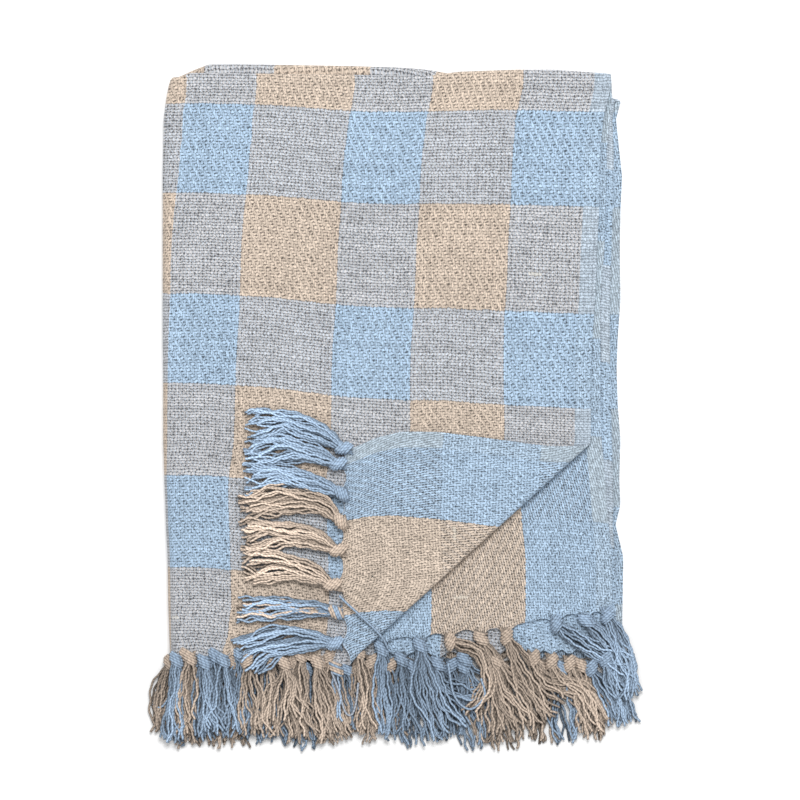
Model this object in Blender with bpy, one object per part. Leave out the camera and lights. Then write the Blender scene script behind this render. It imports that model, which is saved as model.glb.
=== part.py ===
"""A woven cotton blanket folded in four, one corner turned over, its two ends knotted into fringe.

Units are metres and +Z is up. The folded blanket lies on z = 0 with its folded edges to the left
(-X) and at the far end (+Y) and its fringed hems towards -Y.

The cloth is first a flat slab. Its own coordinates are across (from the left fold, positive on the
front half), along (from the far fold, positive on the outer half) and depth (from the wrong side to
the right side). Folding the slab lays four layers over each other: front, second, third, bottom.
"""

import math

import bmesh
import bpy
import numpy as np
from mathutils import Vector

MM = 0.001

# The cloth
HALF_ACROSS = 0.400
HALF_ALONG = 0.525
THICKNESS = 0.0025
LAYER_GAP = 0.0010
CELL_ACROSS = 0.040
CELL_ALONG = 0.033
BESIDE_LEFT_FOLD = (0.016, 0.028)
BEND_STEPS = 6

# The turned corner, folded over a diagonal line from the right edge to the hem
DIAGONAL_START = (176.0 * MM, -33.5 * MM)
DIAGONAL_END = (-43.5 * MM, -233.0 * MM)
DIAGONAL_INNER_RADIUS = 0.0017
CORNER_GAP = 0.0010
CORNER_SETTLE = 0.030
SETTLE_CUTS = (0.3, 0.65, 1.0)

# The fringe
HEM_STRIP = 0.0040
SEAM_GAP = 0.0004
FOLD_CLEARANCE = 0.0010
TASSEL_NECK = 0.0070
ROOT_UNEVEN = 0.0020
ROOT_RHYTHM = 2.3
LOCK_WIDEST = 0.0075
LOCK_CLEARANCE = 0.0007
LOCK_THICKNESS = 0.0023
LOCK_TIP_SHARE = 0.65
TAPER_POWER = 3
SWEEP_POWER = 1.25
FAN_POWER = 0.75
LOCK_UNEVEN = 0.0035
LOCK_RHYTHM = 2.1
LOCK_STEPS = 4
FRINGE_LOWEST = 0.68
FRINGE_FALL_START = -235.0 * MM
FRINGE_FALL_END = -305.0 * MM
SIDE_FALL_START = 205.0 * MM
SIDE_FALL_END = 224.0 * MM
SIDE_LOWEST = 0.55

# Soft unevenness of the stack's height
WAVE_HEIGHT = 0.07
WAVE_LENGTH_X = 0.210
WAVE_LENGTH_Y = 0.270
WAVE_PHASE = 1.0

# The side edges, in mm: y, the left fold, then each layer's right edge
EDGES = (
    # y, left, front, second, third, bottom
    (301.5, -203.0, 193.0, 193.5, 194.0, 199.5),
    (290.0, -206.5, 193.0, 194.0, 195.0, 202.5),
    (276.5, -209.0, 190.5, 194.5, 197.0, 203.0),
    (260.0, -211.0, 186.5, 192.5, 195.0, 198.5),
    (231.0, -211.5, 183.5, 189.5, 196.0, 201.5),
    (208.5, -212.0, 183.0, 189.5, 196.0, 204.0),
    (176.0, -212.0, 182.5, 188.5, 195.0, 202.5),
    (141.0, -212.0, 180.5, 187.5, 194.0, 202.0),
    (95.5, -212.0, 179.0, 184.0, 192.5, 202.5),
    (61.5, -212.0, 176.5, 184.0, 192.5, 200.0),
    (32.5, -211.5, 175.0, 184.0, 193.0, 199.0),
    (2.0, -211.5, 175.0, 184.0, 193.5, 200.0),
    (-30.5, -211.5, 175.0, 185.0, 194.5, 202.5),
    (-67.0, -210.5, 170.5, 188.5, 195.5, 201.5),
    (-89.5, -209.5, 170.5, 190.0, 196.0, 202.5),
    (-107.5, -209.0, 171.5, 191.5, 195.0, 198.0),
    (-136.5, -207.5, 172.5, 194.5, 197.0, 205.0),
    (-175.0, -207.0, 173.5, 194.5, 198.0, 204.5),
    (-207.0, -206.0, 170.5, 194.0, 198.5, 204.0),
    (-229.5, -205.0, 162.5, 193.0, 198.5, 203.0),
    (-256.5, -205.0, 147.0, 193.0, 198.5, 203.0),
)

# The far folds, in mm: x, then how far +Y the front pair's fold and the back pair's fold reach
FAR_FOLDS = (
    # x, front pair, back pair
    (-205.0, 297.0, 298.0),
    (-194.0, 301.0, 303.5),
    (-178.0, 301.0, 309.5),
    (-142.0, 300.5, 309.5),
    (-47.0, 299.5, 308.0),
    (2.5, 298.5, 306.5),
    (27.0, 298.0, 304.5),
    (57.0, 302.0, 299.0),
    (111.0, 304.0, 294.5),
    (147.0, 304.0, 289.0),
    (183.5, 301.5, 281.5),
    (203.0, 300.0, 277.0),
)

# The hems, in mm: x, then each layer's y. The front layer's is where it lay before its corner turned.
HEMS = (
    # x, front, second, third, bottom
    (-205.0, -225.0, -222.0, -224.0, -226.0),
    (-132.5, -227.5, -221.0, -224.5, -226.5),
    (-87.5, -230.5, -220.5, -225.0, -227.0),
    (-43.5, -233.0, -217.0, -225.5, -227.5),
    (4.5, -241.0, -212.5, -226.0, -227.5),
    (60.5, -249.0, -206.0, -225.0, -226.5),
    (104.0, -252.0, -202.5, -223.0, -226.0),
    (147.0, -254.5, -193.0, -222.0, -226.5),
    (175.0, -255.5, -189.5, -221.0, -227.5),
    (200.0, -255.5, -186.0, -220.5, -226.5),
)

# How the fringe sweeps, in mm: the root along its hem, then its tip along the hem and across it
FRONT_SWEEP = (
    # root, tip along, tip across
    (-205.0, -205.0, -299.0),
    (-132.5, -133.0, -303.5),
    (-43.5, -38.0, -297.0),
)
CORNER_SWEEP = (
    (-225.0, -236.0, -143.0),
    (-184.0, -198.0, -144.5),
    (-128.0, -127.0, -145.5),
    (-77.5, -67.0, -142.0),
    (-38.0, -14.0, -133.0),
)
SECOND_SWEEP = (
    (-205.0, -200.0, -300.0),
    (-15.5, -2.0, -303.5),
    (49.5, 67.0, -299.0),
    (104.0, 140.0, -300.0),
    (142.5, 178.0, -294.0),
    (194.0, 221.0, -262.0),
)
THIRD_SWEEP = (
    (-205.0, -206.0, -304.0),
    (2.5, 7.0, -303.5),
    (199.0, 203.0, -297.0),
)
BOTTOM_SWEEP = (
    (-205.0, -224.0, -292.0),
    (-87.5, -88.0, -309.0),
    (48.0, 51.0, -306.0),
    (203.0, 210.0, -288.0),
)

# A row for each fringe: name, layer, sweep, first and last root along its hem, tassels, locks in
# a tassel, and how far its knots stand over the cloth
FRINGES = (
    # name, layer, sweep, first, last, tassels, locks, knot rise
    ("front_fringe", "front", FRONT_SWEEP, -198.0 * MM, -57.0 * MM, 8, 4, 0.3 * MM),
    ("corner_fringe", "corner", CORNER_SWEEP, -214.0 * MM, -41.0 * MM, 8, 4, 2.6 * MM),
    ("second_fringe", "second", SECOND_SWEEP, -193.0 * MM, 189.0 * MM, 15, 4, 0.3 * MM),
    ("third_fringe", "third", THIRD_SWEEP, -181.0 * MM, 182.0 * MM, 16, 4, 0.3 * MM),
    ("bottom_fringe", "bottom", BOTTOM_SWEEP, -197.0 * MM, 197.0 * MM, 18, 4, 0.3 * MM),
)

# Each knot as sections, in mm: how far from the hem, half its width, and the share of its rise
KNOT = (
    # distance, half width, rise
    (1.5, 3.2, 0.0),
    (4.5, 5.8, 1.0),
    (8.5, 5.6, 1.0),
    (11.0, 4.6, 0.0),
)

# Colours
CLOTH_COLOUR = (0.42, 0.50, 0.58, 1.0)
BLUE_FRINGE_COLOUR = (0.28, 0.40, 0.53, 1.0)
BEIGE_FRINGE_COLOUR = (0.43, 0.36, 0.30, 1.0)
FABRIC_ROUGHNESS = 0.95

# Sizes that follow
LAYER_PITCH = THICKNESS + LAYER_GAP
PAIR_THICKNESS = 2 * THICKNESS + LAYER_GAP
FRONT_LEVEL = 3 * LAYER_PITCH
ALONG_REACH = math.pi / 2 * (LAYER_GAP + THICKNESS) / 2
ACROSS_REACH = math.pi / 2 * (LAYER_GAP + PAIR_THICKNESS) / 2
ACROSS_OUTER_RADIUS = LAYER_GAP / 2 + PAIR_THICKNESS
ALONG_OUTER_RADIUS = LAYER_GAP / 2 + THICKNESS
DIAGONAL_OUTER_RADIUS = DIAGONAL_INNER_RADIUS + THICKNESS
DIAGONAL_ARC = math.pi * (DIAGONAL_INNER_RADIUS + THICKNESS / 2)
NOMINAL_LEFT = -205.0 * MM
NOMINAL_RIGHT = 200.0 * MM
RIGHT_X = Vector((1, 0, 0))
LEFT_X = Vector((-1, 0, 0))
UP_Y = Vector((0, 1, 0))
DOWN_Y = Vector((0, -1, 0))
HEM_SAMPLES = 800
EPSILON = 1e-6


def column(table, number, at):
    """The value of a table's column, all in mm, at a place along its first column, in metres."""
    rows = sorted(table)
    places = [row[0] * MM for row in rows]
    values = [row[number] * MM for row in rows]
    return np.interp(at, places, values)


def smooth(share):
    """A share from 0 to 1, eased at both ends."""
    share = np.clip(share, 0, 1)
    return share * share * (3 - 2 * share)


def layered(front, outer, values):
    """One value out of the four layers' (front, second, third, bottom), blended round the folds."""
    near = outer * values[0] + (1 - outer) * values[1]
    far = (1 - outer) * values[2] + outer * values[3]
    return front * near + (1 - front) * far


def bent(distance, reach, radius):
    """A strip bent in half round an axis: how far past the axis, and its side from -1 to 1."""
    angle = np.clip(distance / reach, -1, 1) * math.pi / 2
    past = np.maximum(np.abs(distance) - reach, 0) - radius * np.cos(angle)
    return past, np.sin(angle)


def stacked(points):
    """The flat slab's points folded in four, with the photographed outline of each layer."""
    across, along, depth = points.T
    past_far, outer_side = bent(along, ALONG_REACH, LAYER_GAP / 2 + depth)
    level = THICKNESS + LAYER_GAP / 2 + (LAYER_GAP / 2 + depth) * outer_side
    past_left, front_side = bent(across, ACROSS_REACH, LAYER_GAP / 2 + level)
    z = PAIR_THICKNESS + LAYER_GAP / 2 + (LAYER_GAP / 2 + level) * front_side
    front = (1 + front_side) / 2
    outer = (1 + outer_side) / 2
    share_across = np.maximum(past_left, 0) / (HALF_ACROSS - ACROSS_REACH)
    share_along = np.maximum(past_far, 0) / (HALF_ALONG - ALONG_REACH)
    nominal_x = NOMINAL_LEFT + share_across * (NOMINAL_RIGHT - NOMINAL_LEFT)
    folds = [column(FAR_FOLDS, pair, nominal_x) for pair in (1, 2)]
    far = front * folds[0] + (1 - front) * folds[1] - ALONG_OUTER_RADIUS
    hem = layered(front, outer, [column(HEMS, layer, nominal_x) for layer in (1, 2, 3, 4)])
    y = far - share_along * (far - hem) - np.minimum(past_far, 0)
    left = column(EDGES, 1, y) + ACROSS_OUTER_RADIUS
    right = layered(front, outer, [column(EDGES, layer, y) for layer in (2, 3, 4, 5)])
    x = left + share_across * (right - left) + np.minimum(past_left, 0)
    return np.stack([x, y, z], axis=1)


def diagonal():
    """A point on the line where the corner starts to bend, and the level direction across it."""
    start = Vector((*DIAGONAL_START, 0))
    run = (Vector((*DIAGONAL_END, 0)) - start).normalized()
    outward = Vector((-run.y, run.x, 0))
    return start - DIAGONAL_OUTER_RADIUS * outward, outward


def turned(points):
    """The front layer's points with its corner bent up and over the diagonal line."""
    start, outward = diagonal()
    past = points[:, :2] @ outward.xy - start.xy.dot(outward.xy)
    depth = points[:, 2] - FRONT_LEVEL
    angle = np.clip(past / DIAGONAL_ARC, 0, 1) * math.pi
    radius = DIAGONAL_OUTER_RADIUS - depth
    back = np.maximum(past - DIAGONAL_ARC, 0)
    place = np.where(past > 0, radius * np.sin(angle) - back, past)
    settle = smooth(back / CORNER_SETTLE) * (2 * DIAGONAL_INNER_RADIUS - CORNER_GAP)
    axis = FRONT_LEVEL + THICKNESS + DIAGONAL_INNER_RADIUS
    z = np.where(past > 0, axis - radius * np.cos(angle) - settle, points[:, 2])
    level = points[:, :2] + np.outer(place - past, outward.xy)
    return np.column_stack([level, z])


def settled(points):
    """Every height scaled a little by place, so that the stack waves softly and the fringe sinks."""
    x, y, z = points.T
    across_wave = np.sin(2 * math.pi * x / WAVE_LENGTH_X)
    along_wave = np.sin(2 * math.pi * y / WAVE_LENGTH_Y + WAVE_PHASE)
    end_fall = smooth((y - FRINGE_FALL_START) / (FRINGE_FALL_END - FRINGE_FALL_START))
    side_fall = smooth((x - SIDE_FALL_START) / (SIDE_FALL_END - SIDE_FALL_START))
    scale = 1 + WAVE_HEIGHT * across_wave * along_wave
    scale = scale * (1 - (1 - FRINGE_LOWEST) * end_fall) * (1 - (1 - SIDE_LOWEST) * side_fall)
    return np.column_stack([x, y, z * scale])


def moved(verts, change):
    """Applies a function of an array of points to these vertices."""
    points = change(np.array([vert.co for vert in verts]))
    for vert, point in zip(verts, points):
        vert.co = point


def even_stations(first, last, cell):
    count = max(1, round(abs(last - first) / cell))
    return [float(at) for at in np.linspace(first, last, count + 1)]


def folded_stations(half, reach, cell):
    """Where a slab is cut so that it can bend at zero and lie flat in cells on both sides."""
    flat = even_stations(reach, half, cell)
    bend = even_stations(-reach, reach, 2 * reach / BEND_STEPS)
    return sorted({round(at, 9) for at in [*flat, *(-at for at in flat), *bend]})


def cut_slab(bm, low, high, across_cuts, along_cuts):
    """A flat slab from corner low to corner high, cut at the stations that lie inside it."""
    bmesh.ops.create_cube(bm, size=1)
    middle = (Vector(low) + Vector(high)) / 2
    bmesh.ops.scale(bm, vec=Vector(high) - Vector(low), verts=bm.verts)
    bmesh.ops.translate(bm, vec=middle, verts=bm.verts)
    for axis, cuts in ((0, across_cuts), (1, along_cuts)):
        normal = Vector((0, 0, 0))
        normal[axis] = 1
        for at in cuts:
            if low[axis] + EPSILON < at < high[axis] - EPSILON:
                geometry = [*bm.verts, *bm.edges, *bm.faces]
                bmesh.ops.bisect_plane(
                    bm, geom=geometry, dist=EPSILON, plane_co=normal * at, plane_no=normal
                )


def cut_diagonals(bm):
    """Cuts the front layer parallel to the diagonal, where its corner will bend and settle."""
    start, outward = diagonal()
    arc = [DIAGONAL_ARC * step / BEND_STEPS for step in range(BEND_STEPS + 1)]
    settling = [DIAGONAL_ARC + CORNER_SETTLE * share for share in SETTLE_CUTS]
    for past in [*arc, *settling]:
        faces = [f for f in bm.faces if min(v.co.z for v in f.verts) > FRONT_LEVEL - EPSILON]
        edges = {edge for face in faces for edge in face.edges}
        verts = {vert for face in faces for vert in face.verts}
        bmesh.ops.bisect_plane(
            bm,
            geom=[*verts, *edges, *faces],
            dist=SEAM_GAP / 4,
            plane_co=start + outward * past,
            plane_no=outward,
        )


def turn_corner(bm):
    """Bends the front layer's corner over."""
    cut_diagonals(bm)
    verts = [vert for vert in bm.verts if vert.co.z > FRONT_LEVEL - EPSILON]
    moved(verts, turned)


def fabric_material(name, colour):
    material = bpy.data.materials.new(name)
    material.use_nodes = True
    shader = material.node_tree.nodes["Principled BSDF"]
    shader.inputs["Base Color"].default_value = colour
    shader.inputs["Roughness"].default_value = FABRIC_ROUGHNESS
    shader.inputs["Metallic"].default_value = 0.0
    return material


def finished(name, bm, material):
    """One object from a finished mesh."""
    bmesh.ops.triangulate(bm, faces=bm.faces)
    bmesh.ops.recalc_face_normals(bm, faces=bm.faces)
    if bm.calc_volume(signed=True) < 0:
        bmesh.ops.reverse_faces(bm, faces=bm.faces)
    mesh = bpy.data.meshes.new(name)
    bm.to_mesh(mesh)
    bm.free()
    mesh.materials.append(material)
    made = bpy.data.objects.new(name, mesh)
    bpy.context.scene.collection.objects.link(made)
    return made


def across_stations():
    """Where the cloth and its strips are cut across, so that their edges bend alike."""
    flat = folded_stations(HALF_ACROSS, ACROSS_REACH, CELL_ACROSS)
    beside = [sign * at for sign in (-1, 1) for at in BESIDE_LEFT_FOLD]
    return sorted([*flat, *beside, corner_start()])


def build_cloth(material):
    """The whole cloth but for the narrow strips that carry the fringe."""
    bm = bmesh.new()
    reach = HALF_ALONG - HEM_STRIP - SEAM_GAP
    low = (-HALF_ACROSS, -reach, 0)
    high = (HALF_ACROSS, reach, THICKNESS)
    along_cuts = folded_stations(HALF_ALONG, ALONG_REACH, CELL_ALONG)
    cut_slab(bm, low, high, across_stations(), along_cuts)
    moved(list(bm.verts), stacked)
    turn_corner(bm)
    moved(list(bm.verts), settled)
    return finished("blanket_cloth", bm, material)


def corner_start():
    """How far across the front hem lies just before the diagonal bend."""
    start, outward = diagonal()
    across = np.linspace(ACROSS_REACH, HALF_ACROSS, HEM_SAMPLES)
    hem = stacked(np.column_stack([across, across * 0 + HALF_ALONG, across * 0]))
    past = hem[:, :2] @ outward.xy - start.xy.dot(outward.xy)
    return float(np.interp(-HEM_STRIP / 2, past, across))


def strip_span(layer):
    """The part of a hem that a fringe's strip covers: low and high across, and its far-fold side."""
    clear = ACROSS_REACH + FOLD_CLEARANCE
    split = corner_start()
    return {
        "front": (clear, split - SEAM_GAP / 2, 1),
        "corner": (split + SEAM_GAP / 2, HALF_ACROSS, 1),
        "second": (clear, HALF_ACROSS, -1),
        "third": (-HALF_ACROSS, -clear, -1),
        "bottom": (-HALF_ACROSS, -clear, 1),
    }[layer]


def hem_strip(layer):
    """The narrow strip at a hem, folded into place, with its outer faces marked."""
    low, high, half = strip_span(layer)
    inner, outer = sorted((half * (HALF_ALONG - HEM_STRIP), half * HALF_ALONG))
    bm = bmesh.new()
    cut_slab(bm, (low, inner, 0), (high, outer, THICKNESS), across_stations(), [])
    marker = bm.faces.layers.int.new("hem")
    for face in bm.faces:
        face[marker] = all(abs(v.co.y - half * HALF_ALONG) < EPSILON for v in face.verts)
    moved(list(bm.verts), stacked)
    if layer == "corner":
        turn_corner(bm)
    return bm, marker


def root_faces(bm, marker, side, places):
    """Cuts a root for each tassel into the strip's outer faces, and returns them in order."""
    for at in places:
        for edge in (at - TASSEL_NECK / 2, at + TASSEL_NECK / 2):
            geometry = [*bm.verts, *bm.edges, *bm.faces]
            bmesh.ops.bisect_plane(
                bm, geom=geometry, dist=EPSILON, plane_co=side * edge, plane_no=side
            )
    found = []
    for at in places:
        outer = [face for face in bm.faces if face[marker]]
        close = [f for f in outer if abs(f.calc_center_median().dot(side) - at) < TASSEL_NECK / 2]
        if len(close) > 1:
            close = bmesh.ops.dissolve_faces(bm, faces=close)["region"]
        found.append(close[0])
    return found


def root_places(first, last, tassels):
    """Where the tassels leave the hem, a little unevenly."""
    even = np.linspace(first, last, tassels)
    return [float(at + ROOT_UNEVEN * math.sin(ROOT_RHYTHM * n)) for n, at in enumerate(even)]


def extruded(bm, face, side, section):
    """Extrudes a four-cornered face to a section (centre, half width, low, high) and returns it."""
    middle = face.calc_center_median()
    fresh = bmesh.ops.extrude_discrete_faces(bm, faces=[face])["faces"][0]
    centre, half_width, low, high = section
    for vert in fresh.verts:
        sense = 1 if (vert.co - middle).dot(side) > 0 else -1
        height = high if vert.co.z > middle.z else low
        place = centre + side * (sense * half_width)
        vert.co = (place.x, place.y, height)
    return fresh


def split_across(bm, face, side, parts):
    """Cuts a face into equal parts along side, and returns them from low to high."""
    places = [vert.co.dot(side) for vert in face.verts]
    low, high = min(places), max(places)
    pieces = [face]
    for number in range(1, parts):
        at = low + (high - low) * number / parts
        last = pieces[-1]
        cut = bmesh.ops.bisect_plane(
            bm,
            geom=[*last.verts, *last.edges, last],
            dist=EPSILON,
            plane_co=side * at,
            plane_no=side,
        )
        halves = [item for item in cut["geom"] if isinstance(item, bmesh.types.BMFace)]
        halves.sort(key=lambda half: half.calc_center_median().dot(side))
        pieces[-1:] = halves
    return pieces


def sweep_tip(sweep, root):
    """Where the fringe ends that leaves the hem at root: along the hem, and its reach outward."""
    return float(column(sweep, 1, root)), -float(column(sweep, 2, root))


def add_lock(bm, face, frame, tassel, shift, width):
    """One lock of yarns, from its root face to its tip, level along its underside.

    The tassel sweeps as a whole from its root to its tip while its locks fan out to shift.
    """
    side, outward = frame
    (root_along, root_out), (tip_along, tip_out) = tassel
    places = [vert.co.dot(side) for vert in face.verts]
    low = min(vert.co.z for vert in face.verts)
    root_width = max(places) - min(places)
    root_shift = sum(places) / len(places) - root_along
    for step in range(1, LOCK_STEPS + 1):
        share = step / LOCK_STEPS
        swept = share**SWEEP_POWER
        fanned = share**FAN_POWER
        along = root_along + (tip_along - root_along) * swept
        along += root_shift + (shift - root_shift) * fanned
        out = root_out + (tip_out - root_out) * share
        slope = (tip_along - root_along) * SWEEP_POWER * share ** (SWEEP_POWER - 1)
        cosine = math.cos(math.atan2(abs(slope), tip_out - root_out))
        room = root_width + (width - root_width) * fanned
        taper = 1 - (1 - LOCK_TIP_SHARE) * share**TAPER_POWER
        half_width = min(LOCK_WIDEST / cosine, room - LOCK_CLEARANCE / cosine) * taper / 2
        centre = side * along + outward * out
        section = (centre, half_width, low, low + LOCK_THICKNESS * taper)
        face = extruded(bm, face, side, section)


def add_tassel(bm, face, frame, sweep, spacing, locks, rise):
    """A knot on the hem and the locks that fall from it."""
    side, outward = frame
    low = min(vert.co.z for vert in face.verts)
    root = face.calc_center_median()
    root.z = 0
    for distance, half_width, share in KNOT:
        centre = root + outward * (distance * MM)
        high = low + THICKNESS + rise * share
        face = extruded(bm, face, side, (centre, half_width * MM, low, high))
    start = (root.dot(side), face.calc_center_median().dot(outward))
    tip_along, tip_out = sweep_tip(sweep, root.dot(side))
    width = spacing / locks
    for number, piece in enumerate(split_across(bm, face, side, locks)):
        shift = (number - (locks - 1) / 2) * width
        uneven = LOCK_UNEVEN * math.sin(LOCK_RHYTHM * number + tip_along / LOCK_UNEVEN)
        tassel = (start, (tip_along, tip_out + uneven))
        add_lock(bm, piece, frame, tassel, shift, width)


def build_fringe(row, material):
    """A hem's narrow strip with its knots and locks, as one solid."""
    name, layer, sweep, first, last, tassels, locks, rise = row
    side, outward = (UP_Y, LEFT_X) if layer == "corner" else (RIGHT_X, DOWN_Y)
    bm, marker = hem_strip(layer)
    places = root_places(first, last, tassels)
    roots = root_faces(bm, marker, side, places)
    tips = [sweep_tip(sweep, at)[0] for at in places]
    spacing = min(high - low for low, high in zip(tips, tips[1:]))
    for face in roots:
        add_tassel(bm, face, (side, outward), sweep, spacing, locks, rise)
    moved(list(bm.verts), settled)
    return finished(name, bm, material)


def main():
    for item in list(bpy.data.objects):
        bpy.data.objects.remove(item)
    build_cloth(fabric_material("checked_cloth", CLOTH_COLOUR))
    for number, row in enumerate(FRINGES):
        colour = BEIGE_FRINGE_COLOUR if number % 2 else BLUE_FRINGE_COLOUR
        build_fringe(row, fabric_material(row[0] + "_yarn", colour))


main()
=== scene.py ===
"""The visible surfaces of a woven cotton blanket, folded in four with one corner turned over.

The checked cloth is one sheet that follows the folded solid, and each hem's fringe is one piece of
knotted, plied yarns. Units are metres and +Z is up. The frame's own solids stay for collision.

A flat sheet's coordinates are across (from the left fold, positive on the front half), along (from
the far fold, positive on the outer half) and depth (from the wrong side to the right side).
"""

import math

import bmesh
import bpy
import numpy as np
from bpy.props import FloatProperty, FloatVectorProperty, IntProperty, PointerProperty
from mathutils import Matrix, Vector


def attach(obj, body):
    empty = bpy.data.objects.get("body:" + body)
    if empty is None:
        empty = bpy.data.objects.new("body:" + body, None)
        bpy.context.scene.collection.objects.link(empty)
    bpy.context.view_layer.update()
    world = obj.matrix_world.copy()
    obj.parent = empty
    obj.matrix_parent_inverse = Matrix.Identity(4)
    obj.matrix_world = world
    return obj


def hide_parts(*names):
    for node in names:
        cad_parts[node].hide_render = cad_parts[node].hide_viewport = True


bl_info = {
    "name": "Folded Fringed Blanket",
    "version": (1, 0, 0),
    "blender": (4, 5, 0),
    "location": "View3D > Sidebar > Blanket",
    "description": "Lays a folded, checked cotton blanket with a knotted yarn fringe",
    "category": "Object",
}

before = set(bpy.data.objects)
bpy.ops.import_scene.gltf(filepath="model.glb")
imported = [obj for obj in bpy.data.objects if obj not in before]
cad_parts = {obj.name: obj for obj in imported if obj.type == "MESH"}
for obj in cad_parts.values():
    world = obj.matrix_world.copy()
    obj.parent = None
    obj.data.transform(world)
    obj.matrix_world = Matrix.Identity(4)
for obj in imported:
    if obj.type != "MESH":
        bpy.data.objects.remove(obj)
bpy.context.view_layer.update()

MM = 0.001

# The folded sheet, as its solid is
HALF_ACROSS = 0.400
HALF_ALONG = 0.525
THICKNESS = 0.0025
LAYER_GAP = 0.0010
BEND_STEPS = 10
EDGE_ROUND = 0.0006

# The turned corner
DIAGONAL_START = (176.0 * MM, -33.5 * MM)
DIAGONAL_END = (-43.5 * MM, -233.0 * MM)
DIAGONAL_INNER_RADIUS = 0.0017
CORNER_GAP = 0.0010
CORNER_SETTLE = 0.030
SETTLE_CUTS = (0.3, 0.65, 1.0)

# Soft unevenness of the stack's height, and how the fringe sinks beyond the hems
FRINGE_LOWEST = 0.68
FRINGE_FALL_START = -235.0 * MM
FRINGE_FALL_END = -305.0 * MM
SIDE_FALL_START = 205.0 * MM
SIDE_FALL_END = 224.0 * MM
SIDE_LOWEST = 0.55
WAVE_HEIGHT = 0.07
WAVE_LENGTH_X = 0.210
WAVE_LENGTH_Y = 0.270
WAVE_PHASE = 1.0

# The side edges, in mm: y, the left fold, then each layer's right edge
EDGES = (
    # y, left, front, second, third, bottom
    (301.5, -203.0, 193.0, 193.5, 194.0, 199.5),
    (290.0, -206.5, 193.0, 194.0, 195.0, 202.5),
    (276.5, -209.0, 190.5, 194.5, 197.0, 203.0),
    (260.0, -211.0, 186.5, 192.5, 195.0, 198.5),
    (231.0, -211.5, 183.5, 189.5, 196.0, 201.5),
    (208.5, -212.0, 183.0, 189.5, 196.0, 204.0),
    (176.0, -212.0, 182.5, 188.5, 195.0, 202.5),
    (141.0, -212.0, 180.5, 187.5, 194.0, 202.0),
    (95.5, -212.0, 179.0, 184.0, 192.5, 202.5),
    (61.5, -212.0, 176.5, 184.0, 192.5, 200.0),
    (32.5, -211.5, 175.0, 184.0, 193.0, 199.0),
    (2.0, -211.5, 175.0, 184.0, 193.5, 200.0),
    (-30.5, -211.5, 175.0, 185.0, 194.5, 202.5),
    (-67.0, -210.5, 170.5, 188.5, 195.5, 201.5),
    (-89.5, -209.5, 170.5, 190.0, 196.0, 202.5),
    (-107.5, -209.0, 171.5, 191.5, 195.0, 198.0),
    (-136.5, -207.5, 172.5, 194.5, 197.0, 205.0),
    (-175.0, -207.0, 173.5, 194.5, 198.0, 204.5),
    (-207.0, -206.0, 170.5, 194.0, 198.5, 204.0),
    (-229.5, -205.0, 162.5, 193.0, 198.5, 203.0),
    (-256.5, -205.0, 147.0, 193.0, 198.5, 203.0),
)

# The far folds, in mm: x, then how far +Y the front pair's fold and the back pair's fold reach
FAR_FOLDS = (
    # x, front pair, back pair
    (-205.0, 297.0, 298.0),
    (-194.0, 301.0, 303.5),
    (-178.0, 301.0, 309.5),
    (-142.0, 300.5, 309.5),
    (-47.0, 299.5, 308.0),
    (2.5, 298.5, 306.5),
    (27.0, 298.0, 304.5),
    (57.0, 302.0, 299.0),
    (111.0, 304.0, 294.5),
    (147.0, 304.0, 289.0),
    (183.5, 301.5, 281.5),
    (203.0, 300.0, 277.0),
)

# The hems, in mm: x, then each layer's y. The front layer's is where it lay before its corner turned.
HEMS = (
    # x, front, second, third, bottom
    (-205.0, -225.0, -222.0, -224.0, -226.0),
    (-132.5, -227.5, -221.0, -224.5, -226.5),
    (-87.5, -230.5, -220.5, -225.0, -227.0),
    (-43.5, -233.0, -217.0, -225.5, -227.5),
    (4.5, -241.0, -212.5, -226.0, -227.5),
    (60.5, -249.0, -206.0, -225.0, -226.5),
    (104.0, -252.0, -202.5, -223.0, -226.0),
    (147.0, -254.5, -193.0, -222.0, -226.5),
    (175.0, -255.5, -189.5, -221.0, -227.5),
    (200.0, -255.5, -186.0, -220.5, -226.5),
)

# The main creases of the cloth's visible layers: ridges, or troughs where the height is negative.
# Layers are counted as in the fringes' table below, and every size is in mm.
CREASES = (
    # layer, x, y, direction in degrees, length, width, height
    (0, 168.0, 266.0, 122.0, 70.0, 8.0, 0.8),
    (0, -186.0, 274.0, 42.0, 60.0, 8.0, 0.7),
    (0, -184.0, -70.0, 88.0, 250.0, 14.0, -0.6),
    (0, -100.0, 36.0, 172.0, 160.0, 10.0, 0.35),
    (0, 105.0, 128.0, 4.0, 190.0, 14.0, 0.4),
    (1, -22.0, -54.0, 24.0, 60.0, 7.0, 0.6),
    (1, 62.0, -82.0, 42.0, 170.0, 9.0, 0.5),
    (1, -30.0, -128.0, -8.0, 60.0, 8.0, 0.5),
    (2, 187.0, -172.0, -52.0, 26.0, 4.0, 0.9),
    (2, 181.0, -88.0, 88.0, 110.0, 6.0, 0.6),
    (2, 122.0, -168.0, 78.0, 70.0, 9.0, 0.5),
)

# How far the front layer's right edge is pulled in near its hem, in mm: y, then the pull
PULLED_IN = (
    # y, pull
    (-175.0, 0.0),
    (-207.0, 2.0),
    (-229.5, 7.5),
    (-256.5, 15.0),
)

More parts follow.
